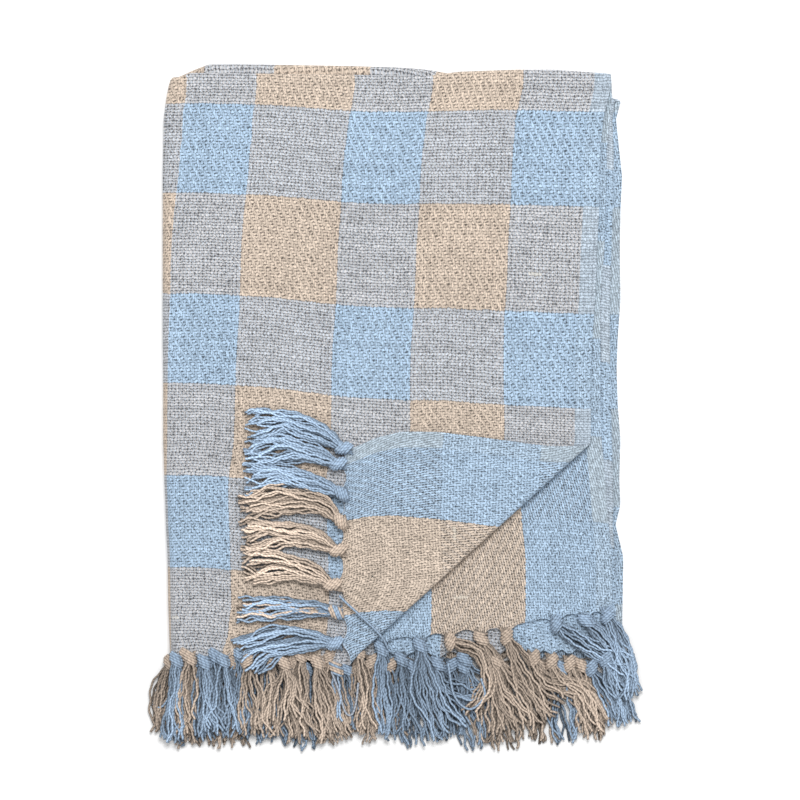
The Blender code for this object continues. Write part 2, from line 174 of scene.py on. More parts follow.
# How far the front layer's warp stripes lie off their even places, to the right, in mm: y, then at
# the left, in the middle and at the right
STRIPE_SHIFT = (
    # y, left, middle, right
    (294.0, 3.0, 3.6, -0.7),
    (263.0, 5.5, 4.6, -1.6),
    (240.0, 7.3, 4.2, -0.4),
    (209.0, 5.7, 2.0, -1.2),
    (172.0, 2.0, 1.1, -2.1),
    (141.0, 1.7, 0.5, -2.2),
    (115.0, 1.8, 0.5, -2.0),
    (82.0, 2.4, 0.5, -3.0),
    (50.0, 2.7, 0.0, -1.5),
    (31.0, 2.5, 0.2, -0.5),
    (-20.0, 1.0, 0.0, 0.0),
    (-100.0, 0.0, 0.0, 0.0),
)

# Where the first blue weft row starts on the front layer, in mm: x, its y, and how much the rows
# below it are stretched, in thousandths
FIRST_ROW = (
    # x, y, stretch
    (-178.0, 274.5, 1000.0),
    (-115.0, 273.2, 1010.0),
    (-65.0, 269.5, 1022.0),
    (-33.0, 267.3, 1025.0),
    (3.0, 266.8, 1030.0),
    (43.0, 267.7, 1036.0),
    (93.0, 269.1, 1058.0),
    (161.0, 267.3, 1065.0),
)
FIRST_ROW_FROM_FOLD = 29.8 * MM

# How far from the far folds the second and third layers' rows keep the front layer's slant
FOLD_FADE = 30.0 * MM

# How much sooner the rows come on the turned corner, where that starts and over what distance,
# across and down
CORNER_SOONER = 11.0 * MM
CORNER_FROM = (0.0 * MM, 290.0 * MM)
CORNER_OVER = (40.0 * MM, 80.0 * MM)

# Where the stripes change colour, in mm. The first stripe of each is blue, then beige by turns.
WARP_STRIPES = (77.7, 161.6, 232.0, 318.8, 382.0, 430.0, 493.0, 579.0, 640.0, 700.0)
WEFT_START = -530.0
WEFT_END = 540.0
WEFT_ROWS = (-407.0, -328.0, -240.0, -153.0, -66.0, 29.8, 108.4, 199.6, 279.0, 363.9, 446.1)
WEFT_LENGTH = (WEFT_END - WEFT_START) * MM
WIDTH_OF_CLOTH = 2 * HALF_ACROSS

# The tassels of each hem, in mm: the knot's x and y, then those of the tassel's middle, its lower
# middle and its tip, how far its tips spread, its number of yarns, and its tone: 0 is blue, 1 beige
FRONT_TASSELS = (
    (-199, -229, -200, -256, -202, -279, -202, -303, 14, 14, 0),
    (-187, -227, -188, -247, -190, -270, -187, -286, 20, 12, 1),
    (-174, -231, -172, -252, -171, -275, -167, -295, 20, 14, 0),
    (-157, -229, -155, -252, -152, -273, -153, -292, 31, 14, 0),
    (-135, -229, -132, -252, -130, -270, -128, -295, 22, 12, 1),
    (-102, -232, -100, -249, -103, -267, -99, -284, 47, 18, 1),
    (-72, -231, -68, -249, -61, -270, -55, -300, 29, 18, 1),
    (-55, -237, -52, -256, -49, -275, -49, -290, 11, 8, 0.3),
)
CORNER_TASSELS = (
    (-48, -38, -71, -24, -101, -15, -133, -18, 23, 15, 0),
    (-53, -52, -77, -43, -106, -39, -135, -44, 24, 16, 0),
    (-50, -79, -74, -70, -106, -63, -136, -66, 18, 14, 0),
    (-51, -104, -68, -90, -102, -85, -139, -90, 24, 15, 1),
    (-53, -130, -76, -119, -106, -115, -139, -118, 27, 17, 1),
    (-58, -161, -79, -150, -108, -144, -137, -146, 26, 15, 1),
    (-55, -186, -77, -183, -110, -182, -143, -184, 17, 12, 0.25),
    (-56, -214, -79, -211, -110, -213, -140, -226, 30, 18, 0),
)
SECOND_TASSELS = (
    (-191, -225, -192, -256, -193, -279, -191, -303, 18, 12, 1),
    (-165, -225, -166, -256, -167, -279, -165, -300, 20, 12, 0),
    (-142, -225, -144, -256, -145, -279, -149, -297, 22, 12, 0),
    (-116, -225, -115, -256, -116, -279, -115, -300, 23, 12, 1),
    (-88, -225, -88, -256, -88, -279, -82, -302, 22, 12, 1),
    (-61, -225, -61, -256, -58, -279, -51, -303, 22, 12, 1),
    (-35, -222, -33, -247, -30, -270, -27, -295, 23, 14, 1),
    (-14, -219, -12, -247, -10, -275, -9, -300, 13, 14, 0),
    (21, -216, 25, -243, 32, -270, 47, -297, 36, 18, 0),
    (48, -213, 73, -223, 82, -252, 64, -279, 9, 9, 1),
    (76, -210, 86, -231, 100, -258, 120, -291, 33, 16, 1),
    (99, -208, 111, -231, 124, -258, 140, -280, 23, 15, 1),
    (144, -197, 160, -209, 181, -222, 208, -234, 15, 12, 0),
    (171, -194, 184, -206, 198, -224, 210, -250, 19, 14, 0),
    (190, -189, 198, -204, 206, -226, 213, -262, 17, 13, 0),
)
THIRD_TASSELS = (
    (-178, -231, -178, -256, -176, -279, -173, -300, 22, 10, 0),
    (-149, -231, -149, -256, -151, -279, -149, -303, 27, 10, 1),
    (-122, -231, -122, -256, -122, -279, -122, -302, 27, 10, 0),
    (-95, -231, -95, -256, -91, -279, -89, -303, 23, 10, 1),
    (-68, -231, -68, -256, -64, -279, -61, -302, 23, 10, 1),
    (-46, -237, -43, -255, -42, -270, -41, -291, 14, 10, 0),
    (-23, -231, -23, -256, -21, -279, -17, -302, 22, 12, 1),
    (4, -229, 6, -252, 8, -275, 9, -297, 22, 12, 0),
    (37, -233, 44, -251, 62, -258, 79, -258, 13, 10, 0),
    (61, -229, 66, -240, 73, -251, 80, -256, 22, 10, 0),
    (90, -231, 90, -256, 90, -279, 91, -302, 27, 12, 1),
    (124, -228, 136, -247, 170, -256, 185, -285, 20, 14, 1),
    (140, -231, 149, -249, 172, -267, 180, -293, 23, 13, 1),
    (156, -233, 165, -256, 174, -275, 181, -297, 18, 10, 1),
    (176, -237, 185, -251, 194, -265, 203, -285, 22, 12, 0),
    (189, -229, 195, -247, 202, -265, 208, -287, 20, 14, 0),
)
BOTTOM_TASSELS = (
    (-205, -233, -212, -256, -216, -273, -213, -294, 13, 12, 1),
    (-196, -235, -200, -261, -201, -284, -200, -307, 18, 10, 0),
    (-178, -235, -180, -261, -182, -284, -180, -306, 16, 10, 1),
    (-153, -237, -153, -261, -153, -284, -151, -308, 31, 12, 1),
    (-126, -237, -124, -261, -122, -284, -120, -303, 27, 10, 0),
    (-98, -237, -98, -261, -97, -284, -95, -305, 22, 10, 0),
    (-82, -237, -82, -261, -82, -284, -81, -310, 14, 10, 0),
    (-62, -237, -64, -261, -64, -284, -64, -303, 22, 10, 1),
    (-37, -237, -35, -261, -33, -279, -31, -297, 25, 10, 1),
    (-6, -235, -6, -261, -5, -279, -5, -298, 23, 10, 1),
    (15, -237, 15, -261, 16, -284, 18, -307, 24, 12, 0),
    (49, -235, 49, -258, 48, -279, 48, -302, 23, 12, 0),
    (60, -236, 65, -261, 71, -284, 77, -309, 26, 14, 0.2),
    (96, -237, 96, -261, 97, -284, 98, -311, 23, 12, 1),
    (130, -236, 129, -261, 128, -282, 128, -304, 25, 12, 1),
    (149, -237, 150, -261, 151, -282, 154, -304, 23, 12, 0),
    (167, -235, 174, -261, 178, -279, 180, -302, 20, 10, 1),
    (194, -233, 199, -256, 204, -273, 206, -285, 24, 12, 0),
)

# The fringes: name, tassels, which way the hem faces, the height of the hem's middle, of the knots'
# centres and of the tips, all in mm, how light the yarns are and how full the tassels. The lightness
# is partly painted light and shade: lighter on the raised corner, darker on the lower hems.
FRINGES = (
    # name, tassels, facing, hem, knot, tip, lightness, fullness
    ("front_fringe", FRONT_TASSELS, (0, -1), 11.9, 13.0, 11.4, 0.90, 1.25),
    ("corner_fringe", CORNER_TASSELS, (-1, 0), 15.4, 18.0, 16.6, 1.22, 2.00),
    ("second_fringe", SECOND_TASSELS, (0, -1), 8.4, 10.2, 9.2, 0.86, 1.35),
    ("third_fringe", THIRD_TASSELS, (0, -1), 4.9, 7.4, 6.6, 0.70, 1.30),
    ("bottom_fringe", BOTTOM_TASSELS, (0, -1), 1.4, 4.8, 3.8, 0.66, 1.30),
)

# Yarns that came loose and lie across the others: fringe, tone, then points as x, y and height in mm
LOOSE_YARNS = (
    ("corner_fringe", 0.0, ((-52, -171, 18.4), (-46, -177, 20.2), (-36, -186, 21.2), (-23, -198, 21.6),
                            (-13, -209, 20.0), (-8, -219, 15.0))),
    ("front_fringe", 0.0, ((-201, -240, 13.0), (-204, -256, 12.0), (-209, -268, 9.0), (-215, -273, 6.0),
                           (-221, -270, 4.5))),
    ("front_fringe", 0.3, ((-59, -240, 15.0), (-53, -256, 14.5), (-47, -276, 13.0), (-41, -279, 12.5),
                           (-37, -268, 13.0), (-35, -250, 12.0))),
    ("second_fringe", 0.0, ((46, -232, 12.5), (52, -262, 12.0), (66, -274, 11.5), (79, -262, 11.5),
                            (76, -246, 11.0))),
)

# How a tassel's bundle of yarns widens from the hem, in mm: distance, half width, half height
BUNDLE = (
    # distance, half width, half height
    (0.0, 6.5, 0.2),
    (2.5, 3.8, 1.0),
    (6.0, 2.6, 2.0),
    (11.0, 3.6, 2.8),
    (18.0, 6.0, 3.0),
)
ROOT_TO_KNOT = 6.0 * MM
TIP_HALF_HEIGHT = 2.1 * MM
FAN_POWER = 0.72
SPREAD_SHARE = 1.22
YARN_RINGS = 46
YARN_SIDES = 6

# How a tassel's yarns stray from its even bundle. Shares are of its width, height or length.
CENTRE_POINTS = 121
SPAN_STEPS = 24
TIP_MIXING = 0.15
TIP_SHIFTS = (-0.11, 0.04)
FAR_SHARE = 1.1
FLATTER_SIDES = 0.8
THICKNESSES = (0.84, 1.08)
CRIMP = 0.45 * MM
CRIMP_LENGTH = 12.0 * MM
CRIMP_PHASES = 3
RIPPLE = 0.35 * MM
RIPPLE_LENGTH = 7 * MM
LEAST_SWAY = 0.15 * MM
WANDER_SHARE = 0.6
WANDER_LENGTHS = (0.020, 0.055)
CLUMPS = 1.6
CLUMP_PHASE = 1.7
CLUMP_LENGTH = 0.055
CURL_WAYS = (0, 0, 0, 1, -1)
CURLS = (2, 6)
CURL_START = 0.82
STRAY_SHARE = 0.13
STRAYS = (-8, 8)
MIX_START = 12 * MM
MIX_SHARE = 0.8
FALL_START = 6 * MM
FALL_SHARE = 0.45

# A tassel's knot: the turns of yarn over its bundle
WRAP_RINGS = 19
WRAPS = 5
WRAP_SPACING = 2.3 * MM
WRAP_HALF_WIDTH = 6.4 * MM
WRAP_HALF_HEIGHT = 4.8 * MM
WRAP_SLANT = math.radians(28)
WRAP_CROWN = 2.8
WRAP_SIZES = (0.93, 1.05)
WRAP_THICKER = 1.15

# How light the yarns are: by chance, then painted shade by depth in the bundle, on the sides and near
# the root, and painted light towards the right
YARN_SHADES = (0.66, 1.16)
WRAP_SHADES = (0.90, 1.08)
# Painted shade: the lower yarns of a bundle are darker
LOW_YARN_PAINTED_SHADE = 0.48
# Painted shade: each yarn's sides are darker than its top, and each knot turn darker where it faces
# inward
SIDE_PAINTED_SHADE = 0.12
SIDE_PAINTED_SHADE_POWER = 1.6
WRAP_SIDE_PAINTED_SHADE = 0.40
# Painted shade: the yarns are darker near the knot, where the bundle is close
ROOT_PAINTED_SHADE = 0.62
ROOT_PAINTED_SHADE_REACH = 1.2
# Painted light: the tassels are lighter towards the right
RIGHT_PAINTED_LIGHT = 0.28
RIGHT_START = 110.0
RIGHT_WIDTH = 60.0

# The plies: how far one yarn's are shifted from the last one's, and their groove's width and the
# painted shade in it
PLY_SHIFT = 0.0041
GROOVE_SLOPE = 2.6
GROOVE_PAINTED_SHADE = (0.45, 0.45, 0.47, 1.0)

# How the hem is drawn into its knots
GATHER_DEPTH = 0.015
GATHER_OUT = 0.0030
GATHER_SIDE = 0.28
GATHER_HALF_SPACING = 0.012
GATHER_RISE = 0.0006
GATHER_POWER = 1.5

# Where the pull at the right edge is full, and over what distance it ends
PULL_START = 0.075
PULL_END = 0.220

# How far from the right edge the stripes are shifted as at the right, then as in the middle
SHIFT_RIGHT = 0.080
SHIFT_MIDDLE = 0.210
SHIFT_WIDTH = 0.110

# How the yarns lie in the weave, in parts of a yarn's width or height: how they lean, how round
# they are, how they rise and fall, and how the warp stands out
TWILL_LEAN = -0.45
WRONG_TWILL_LEAN = 0.5
FLOAT_LEAN = 1.6
WEFT_LEAN = 0.3
WRONG_WEFT_LEAN = -0.6
LEAN_LIMIT = 0.3
YARN_ROUND = 0.7
PLAIN_ROUNDER = 0.05
YARN_RISE = 0.45
WARP_LIFT = 0.05
PLAIN_LIFT = -0.25
FLOAT_LIFT = 0.60

# How the yarns wander from their even places, each on two scales
WANDERS = (
    # scale, detail, share
    (110.0, 1.0, 0.6),
    (600.0, 0.0, 0.8),
)
WEFT_NOISE_ASIDE = 3.7

# The reed's gaps between pairs of yarns, and the cotton's fuzz, in parts of a yarn's height
PAIR_GAP = 0.30
PLAIN_PAIR_GAP = 0.55
FUZZ = 0.6
FUZZ_SCALE = 900.0

# How the colours mix where warp and weft differ, and how deep the weave is, which sets its painted
# crevice shade
YARN_BLEED = 0.16
FLOAT_TINT = 1.00
PLAIN_BLUER = 0.01
PLAIN_DEEPER = -0.14
FLOAT_DEEPER = 0.25
DEPTH_START = 0.20
DEPTH_RANGE = 0.70

# The selvedge, where the warp is close: its width, how far it covers the weft, how pale it is in
# the blue rows, and how light the painted shade in its crevices is at least
SELVEDGE_BAND = 0.0145
SELVEDGE_COVER = 0.75
SELVEDGE_IN_BLUE = 0.25
SELVEDGE_LEAST_PAINTED_SHADE = 0.48

# The flecks and slubs in the cotton: how many, how large and how ragged
FLECK_SCALE = 45.0
FLECK_SHARE = 0.07
FLECK_EDGE_SCALE = 1500.0
FLECK_SIZE = -0.02
FLECK_RAGGED = 0.10
SLUB_ENDS = 7.0
SLUB_LEAST = 0.9996
SLUB_SHARE = 0.35

# How much the cotton's shade differs from yarn to yarn and from crossing to crossing, how many
# lengths of one shade a metre of warp and of weft has, and which random numbers each of these reads
YARN_SHARE = 0.5
SHADE_RANGE = 0.55
# Painted shade: how light the deepest crevices of the weave are
CREVICE_PAINTED_SHADE = 0.18
WARP_LENGTHS = 14.0
WEFT_LENGTHS = 11.0
CROSSING_SET = 1.0
WARP_SET = 3.0
WEFT_SET = 7.0
SLUB_SET = 9.0

# Colours and finishes
FLECK = (0.045, 0.05, 0.05, 1.0)
SLUB = (0.80, 0.76, 0.66, 1.0)
SELVEDGE = (1.12, 1.06, 1.00, 1.0)
WRONG_SELVEDGE = (1.15, 1.04, 0.93, 1.0)
CLOTH_BUMP = (0.6, 0.0006)
YARN_BUMP = (0.8, 0.0005)
COTTON_SHADER = {
    "Roughness": 0.92,
    "Metallic": 0.0,
    "Specular IOR Level": 0.18,
    "Sheen Weight": 0.12,
    "Sheen Roughness": 0.6,
}

# Sizes that follow
LAYER_PITCH = THICKNESS + LAYER_GAP
PAIR_THICKNESS = 2 * THICKNESS + LAYER_GAP
FRONT_LEVEL = 3 * LAYER_PITCH
ALONG_REACH = math.pi / 2 * (LAYER_GAP + THICKNESS) / 2
ACROSS_REACH = math.pi / 2 * (LAYER_GAP + PAIR_THICKNESS) / 2
ACROSS_OUTER_RADIUS = LAYER_GAP / 2 + PAIR_THICKNESS
ALONG_OUTER_RADIUS = LAYER_GAP / 2 + THICKNESS
DIAGONAL_OUTER_RADIUS = DIAGONAL_INNER_RADIUS + THICKNESS
DIAGONAL_ARC = math.pi * (DIAGONAL_INNER_RADIUS + THICKNESS / 2)
NOMINAL_LEFT = -205.0 * MM
NOMINAL_RIGHT = 200.0 * MM
EPSILON = 1e-6
SEED = 11


class ClothSettings(bpy.types.PropertyGroup):
    """Sizes and colours of the woven cloth."""

    thickness: FloatProperty(
        name="Thickness", description="How thick the woven cloth is", default=0.0019,
        min=0.001, max=0.0025, subtype="DISTANCE", unit="LENGTH",
    )
    cell: FloatProperty(
        name="Mesh cell", description="Size of the cells that the sheet is made of",
        default=0.005, min=0.004, max=0.03, subtype="DISTANCE", unit="LENGTH",
    )
    end_pitch: FloatProperty(
        name="Warp pitch", description="From one warp yarn to the next", default=0.00170,
        min=0.0005, max=0.01, subtype="DISTANCE", unit="LENGTH",
    )
    pick_pitch: FloatProperty(
        name="Weft pitch", description="From one weft yarn to the next", default=0.00260,
        min=0.0005, max=0.01, subtype="DISTANCE", unit="LENGTH",
    )
    blue: FloatVectorProperty(
        name="Blue", description="Colour of the blue cotton", default=(0.405, 0.54, 0.695),
        size=3, min=0, max=1, subtype="COLOR",
    )
    beige: FloatVectorProperty(
        name="Beige", description="Colour of the beige cotton", default=(0.63, 0.523, 0.43),
        size=3, min=0, max=1, subtype="COLOR",
    )


class FringeSettings(bpy.types.PropertyGroup):
    """Sizes and colours of the fringe's yarns."""

    yarn: FloatProperty(
        name="Yarn thickness", description="Diameter of one plied yarn", default=0.0024,
        min=0.001, max=0.004, subtype="DISTANCE", unit="LENGTH",
    )
    twist: FloatProperty(
        name="Twist length", description="Length of one full turn of the plies",
        default=0.0066, min=0.002, max=0.03, subtype="DISTANCE", unit="LENGTH",
    )
    waviness: FloatProperty(
        name="Waviness", description="How far a yarn strays sideways near its tip",
        default=0.0022, min=0, max=0.01, subtype="DISTANCE", unit="LENGTH",
    )
    seed: IntProperty(
        name="Seed", description="Picks another arrangement of the yarns", default=SEED, min=0,
    )
    blue: FloatVectorProperty(
        name="Blue", description="Colour of the blue yarns", default=(0.39, 0.52, 0.685),
        size=3, min=0, max=1, subtype="COLOR",
    )
    beige: FloatVectorProperty(
        name="Beige", description="Colour of the beige yarns", default=(0.71, 0.575, 0.465),
        size=3, min=0, max=1, subtype="COLOR",
    )


class StageSettings(bpy.types.PropertyGroup):
    """The floor, the light and the camera."""

    floor: FloatVectorProperty(
        name="Floor", description="Colour of the floor", default=(0.94, 0.94, 0.94),
        size=3, min=0, max=1, subtype="COLOR",
    )
    key: FloatProperty(
        name="Key light", description="Power of the large soft light", default=68.0, min=0,
        subtype="POWER", unit="POWER",
    )
    fill: FloatProperty(
        name="Fill light", description="Strength of the light from all round", default=0.70,
        min=0,
    )
    distance: FloatProperty(
        name="Camera distance", description="How high the camera is over the floor",
        default=3.0, min=0.5, subtype="DISTANCE", unit="LENGTH",
    )


def column(table, number, at):
    """The value of a table's column, all in mm, at a place along its first column, in metres."""
    rows = sorted(table)
    places = [row[0] * MM for row in rows]
    values = [row[number] * MM for row in rows]
    return np.interp(at, places, values)


def smooth(share):
    """A share from 0 to 1, eased at both ends."""
    share = np.clip(share, 0, 1)
    return share * share * (3 - 2 * share)


def layered(front, outer, values):
    """One value out of the four layers' (front, second, third, bottom), blended round the folds."""
    near = outer * values[0] + (1 - outer) * values[1]
    far = (1 - outer) * values[2] + outer * values[3]
    return front * near + (1 - front) * far


def bent(distance, reach, radius):
    """A strip bent in half round an axis: how far past the axis, and its side from -1 to 1."""
    angle = np.clip(distance / reach, -1, 1) * math.pi / 2
    past = np.maximum(np.abs(distance) - reach, 0) - radius * np.cos(angle)
    return past, np.sin(angle)


def stacked(points):
    """The flat sheet's points folded in four, and each point's place in the weave."""
    across, along, depth = points.T
    past_far, outer_side = bent(along, ALONG_REACH, LAYER_GAP / 2 + depth)
    level = THICKNESS + LAYER_GAP / 2 + (LAYER_GAP / 2 + depth) * outer_side
    past_left, front_side = bent(across, ACROSS_REACH, LAYER_GAP / 2 + level)
    z = PAIR_THICKNESS + LAYER_GAP / 2 + (LAYER_GAP / 2 + level) * front_side
    front = (1 + front_side) / 2
    outer = (1 + outer_side) / 2
    share_across = np.maximum(past_left, 0) / (HALF_ACROSS - ACROSS_REACH)
    share_along = np.maximum(past_far, 0) / (HALF_ALONG - ALONG_REACH)
    nominal_x = NOMINAL_LEFT + share_across * (NOMINAL_RIGHT - NOMINAL_LEFT)
    folds = [column(FAR_FOLDS, pair, nominal_x) for pair in (1, 2)]
    far = front * folds[0] + (1 - front) * folds[1] - ALONG_OUTER_RADIUS
    hem = layered(front, outer, [column(HEMS, layer, nominal_x) for layer in (1, 2, 3, 4)])
    y = far - share_along * (far - hem) - np.minimum(past_far, 0)
    left = column(EDGES, 1, y) + ACROSS_OUTER_RADIUS
    right = layered(front, outer, [column(EDGES, layer, y) for layer in (2, 3, 4, 5)])
    x = left + share_across * (right - left) + np.minimum(past_left, 0)
    from_right = right - x
    from_right = from_right + stripes_off(from_right, y) * front * outer
    across_weave = front * from_right + (1 - front) * (WIDTH_OF_CLOTH - from_right)
    round_fold = np.arccos(np.clip(outer_side, -1, 1)) * (LAYER_GAP / 2 + depth)
    outer_rows, inner_rows = rows_at(x, far, np.maximum(far - y, 0), round_fold, front)
    along_weave = np.where(outer_side > 0, outer_rows, inner_rows)
    return np.stack([x, y, z], axis=1), np.stack([across_weave, along_weave], axis=1)


def stripes_off(from_right, y):
    """How far the front layer's warp stripes lie off their even places, and its edge is pulled in."""
    pulled = column(PULLED_IN, 1, y) * smooth(from_right / PULL_START)
    pulled = pulled * (1 - smooth((from_right - PULL_START) / PULL_END))
    at_left, in_middle, at_right = (column(STRIPE_SHIFT, place, y) for place in (1, 2, 3))
    shift = at_right * smooth(from_right / SHIFT_RIGHT)
    shift = shift + (in_middle - at_right) * smooth((from_right - SHIFT_RIGHT) / SHIFT_WIDTH)
    shift = shift + (at_left - in_middle) * smooth((from_right - SHIFT_MIDDLE) / SHIFT_WIDTH)
    return pulled + shift


def rows_at(x, far, below, round_fold, front):
    """Where points lie along the weave: on the outer layers, and on the inner ones."""
    stretch = column(FIRST_ROW, 2, x)
    at_fold = FIRST_ROW_FROM_FOLD + (column(FIRST_ROW, 1, x) - far) / stretch - round_fold
    sooner = smooth((x - CORNER_FROM[0]) / CORNER_OVER[0])
    sooner = CORNER_SOONER * front * sooner * smooth((below - CORNER_FROM[1]) / CORNER_OVER[1])
    outer_rows = at_fold + below / stretch + sooner
    inner_rows = at_fold * np.exp(-below / FOLD_FADE) - below
    return outer_rows, inner_rows


def diagonal():
    """A point on the line where the corner starts to bend, and the level direction across it."""
    start = Vector((*DIAGONAL_START, 0))
    run = (Vector((*DIAGONAL_END, 0)) - start).normalized()
    outward = Vector((-run.y, run.x, 0))
    return start - DIAGONAL_OUTER_RADIUS * outward, outward


def turned(points):
    """The front layer's points with its corner bent up and over the diagonal line."""
    start, outward = diagonal()
    past = points[:, :2] @ outward.xy - start.xy.dot(outward.xy)
    depth = points[:, 2] - FRONT_LEVEL
    angle = np.clip(past / DIAGONAL_ARC, 0, 1) * math.pi
    radius = DIAGONAL_OUTER_RADIUS - depth
    back = np.maximum(past - DIAGONAL_ARC, 0)
    place = np.where(past > 0, radius * np.sin(angle) - back, past)
    settle = smooth(back / CORNER_SETTLE) * (2 * DIAGONAL_INNER_RADIUS - CORNER_GAP)
    axis = FRONT_LEVEL + THICKNESS + DIAGONAL_INNER_RADIUS
    z = np.where(past > 0, axis - radius * np.cos(angle) - settle, points[:, 2])
    level = points[:, :2] + np.outer(place - past, outward.xy)
    return np.column_stack([level, z])


def settled(points):
    """Every height scaled a little by place, so that the stack waves softly and the fringe sinks."""
    x, y, z = points.T
    across_wave = np.sin(2 * math.pi * x / WAVE_LENGTH_X)
    along_wave = np.sin(2 * math.pi * y / WAVE_LENGTH_Y + WAVE_PHASE)
    end_fall = smooth((y - FRINGE_FALL_START) / (FRINGE_FALL_END - FRINGE_FALL_START))
    side_fall = smooth((x - SIDE_FALL_START) / (SIDE_FALL_END - SIDE_FALL_START))
    scale = 1 + WAVE_HEIGHT * across_wave * along_wave
    scale = scale * (1 - (1 - FRINGE_LOWEST) * end_fall) * (1 - (1 - SIDE_LOWEST) * side_fall)
    return np.column_stack([x, y, z * scale])


def mesh_points(mesh):
    """A mesh's points as rows of x, y and z."""
    points = np.empty(len(mesh.vertices) * 3)
    mesh.vertices.foreach_get("co", points)
    return points.reshape(-1, 3)


def set_mesh_points(mesh, points):
    """Moves a mesh's points to these places."""
    mesh.vertices.foreach_set("co", np.ascontiguousarray(points, np.float32).ravel())
    mesh.update()


def mesh_of(bm, name):
    """A mesh of what was modelled, which is then let go."""
    mesh = bpy.data.meshes.new(name)
    bm.to_mesh(mesh)
    bm.free()
    return mesh


def linked(context, name, data):
    """An object of this data, in the scene."""
    made = bpy.data.objects.new(name, data)
    context.scene.collection.objects.link(made)
    return made


def point_values(mesh, name, kind="FLOAT"):
    """A named value on each point of a mesh, made if it isn't there."""
    return mesh.attributes.get(name) or mesh.attributes.new(name, kind, "POINT")


def corner_points(mesh):
    """The number of the point at each face corner."""
    numbers = np.empty(len(mesh.loops), np.int32)
    mesh.loops.foreach_get("vertex_index", numbers)
    return numbers


def even_stations(first, last, cell):
    """Evenly spaced places from the first to the last, about a cell apart."""
    count = max(1, round(abs(last - first) / cell))
    return list(np.linspace(first, last, count + 1))


def folded_stations(half, reach, cell):
    """Where a sheet is cut so that it can bend at zero and lie flat in cells on both sides."""
    flat = even_stations(reach, half - GATHER_DEPTH, cell)
    hem = even_stations(half - GATHER_DEPTH, half, cell / 2)
    bend = even_stations(-reach, reach, 2 * reach / BEND_STEPS)
    outside = [*flat, *hem]
    return np.array(sorted({round(at, 9) for at in [*outside, *(-at for at in outside), *bend]}))


def flat_sheet(thickness, cell):
    """The whole cloth lying flat, its right side up, as a closed sheet with round edges."""
    across = folded_stations(HALF_ACROSS, ACROSS_REACH, cell)
    along = folded_stations(HALF_ALONG, ALONG_REACH, cell)
    bm = bmesh.new()
    bmesh.ops.create_grid(bm, x_segments=len(across) - 1, y_segments=len(along) - 1, size=0.5)
    under = list(bm.faces)
    made = bmesh.ops.extrude_face_region(bm, geom=under)["geom"]
    upper = [item for item in made if isinstance(item, bmesh.types.BMVert)]
    bmesh.ops.translate(bm, vec=(0, 0, THICKNESS), verts=upper)
    bmesh.ops.translate(
        bm, vec=(0, 0, THICKNESS - thickness), verts=[v for v in bm.verts if v.co.z < EPSILON]
    )
    bmesh.ops.recalc_face_normals(bm, faces=bm.faces)
    for vert in bm.verts:
        vert.co.x = np.interp(vert.co.x + 0.5, np.linspace(0, 1, len(across)), across)
        vert.co.y = np.interp(vert.co.y + 0.5, np.linspace(0, 1, len(along)), along)
    rim = [edge for edge in bm.edges if is_rim(edge)]
    bmesh.ops.bevel(
        bm, geom=rim, offset=EDGE_ROUND, offset_type="OFFSET", affect="EDGES", segments=2,
        profile=0.5, material=-1,
    )
    for face in bm.faces:
        face.smooth = True
        face.material_index = int(all(v.co.z < THICKNESS - thickness + EPSILON for v in face.verts))
    return mesh_of(bm, "blanket_sheet")


def is_rim(edge):
    """Whether an edge is where the sheet's upper or lower face meets its side."""
    if len(edge.link_faces) != 2:
        return False
    upright = [abs(face.normal.z) < 0.5 for face in edge.link_faces]
    return upright[0] != upright[1]


def cut_diagonals(mesh):
    """Cuts the front layer parallel to the diagonal, where its corner will bend and settle."""
    start, outward = diagonal()
    bm = bmesh.new()
    bm.from_mesh(mesh)
    arc = [DIAGONAL_ARC * step / BEND_STEPS for step in range(BEND_STEPS + 1)]
    settling = [DIAGONAL_ARC + CORNER_SETTLE * share for share in SETTLE_CUTS]
    for past in [*arc, *settling]:
        at = start + outward * past
        faces = [face for face in bm.faces if crosses(face, at, outward)]
        edges = {edge for face in faces for edge in face.edges}
        verts = {vert for face in faces for vert in face.verts}
        bmesh.ops.bisect_plane(
            bm, geom=[*verts, *edges, *faces], dist=EPSILON, plane_co=at, plane_no=outward
        )
    bm.to_mesh(mesh)
    bm.free()


def crosses(face, at, outward):
    """Whether a face of the front layer lies on both sides of an upright plane."""
    corners = [vert.co for vert in face.verts]
    if min(corner.z for corner in corners) < FRONT_LEVEL - EPSILON:
        return False
    sides = [(corner - at).dot(outward) for corner in corners]
    return min(sides) < 0 < max(sides)


def knots_of(tassels, facing):
    """Where each tassel leaves its hem, as level points."""
    return np.array([[row[0] * MM, row[1] * MM] for row in tassels]) - (
        np.array(facing) * ROOT_TO_KNOT / 2
    )


def gathered(points, from_hem, layer_of):
    """The hems drawn out into points where their knots are."""
    moved = points.copy()
    for number, (_, tassels, facing, *_) in enumerate(FRINGES):
        chosen = np.nonzero((layer_of == number) & (from_hem < GATHER_DEPTH))[0]
        roots = knots_of(tassels, facing)
        side = np.array([-facing[1], facing[0]])
        near = (1 - from_hem[chosen] / GATHER_DEPTH) ** GATHER_POWER
        gaps = (roots @ side)[None, :] - (points[chosen, :2] @ side)[:, None]
        nearest = gaps[np.arange(len(chosen)), np.abs(gaps).argmin(axis=1)]
        lateral = np.clip(np.abs(nearest) / GATHER_HALF_SPACING, 0, 1)
        out = near * GATHER_OUT * np.cos(math.pi * lateral)
        aside = near * GATHER_SIDE * nearest * (1 - lateral)
        moved[chosen, :2] += np.outer(out, facing) + np.outer(aside, side)
        moved[chosen, 2] += near * GATHER_RISE * np.cos(math.pi * lateral)
    return moved


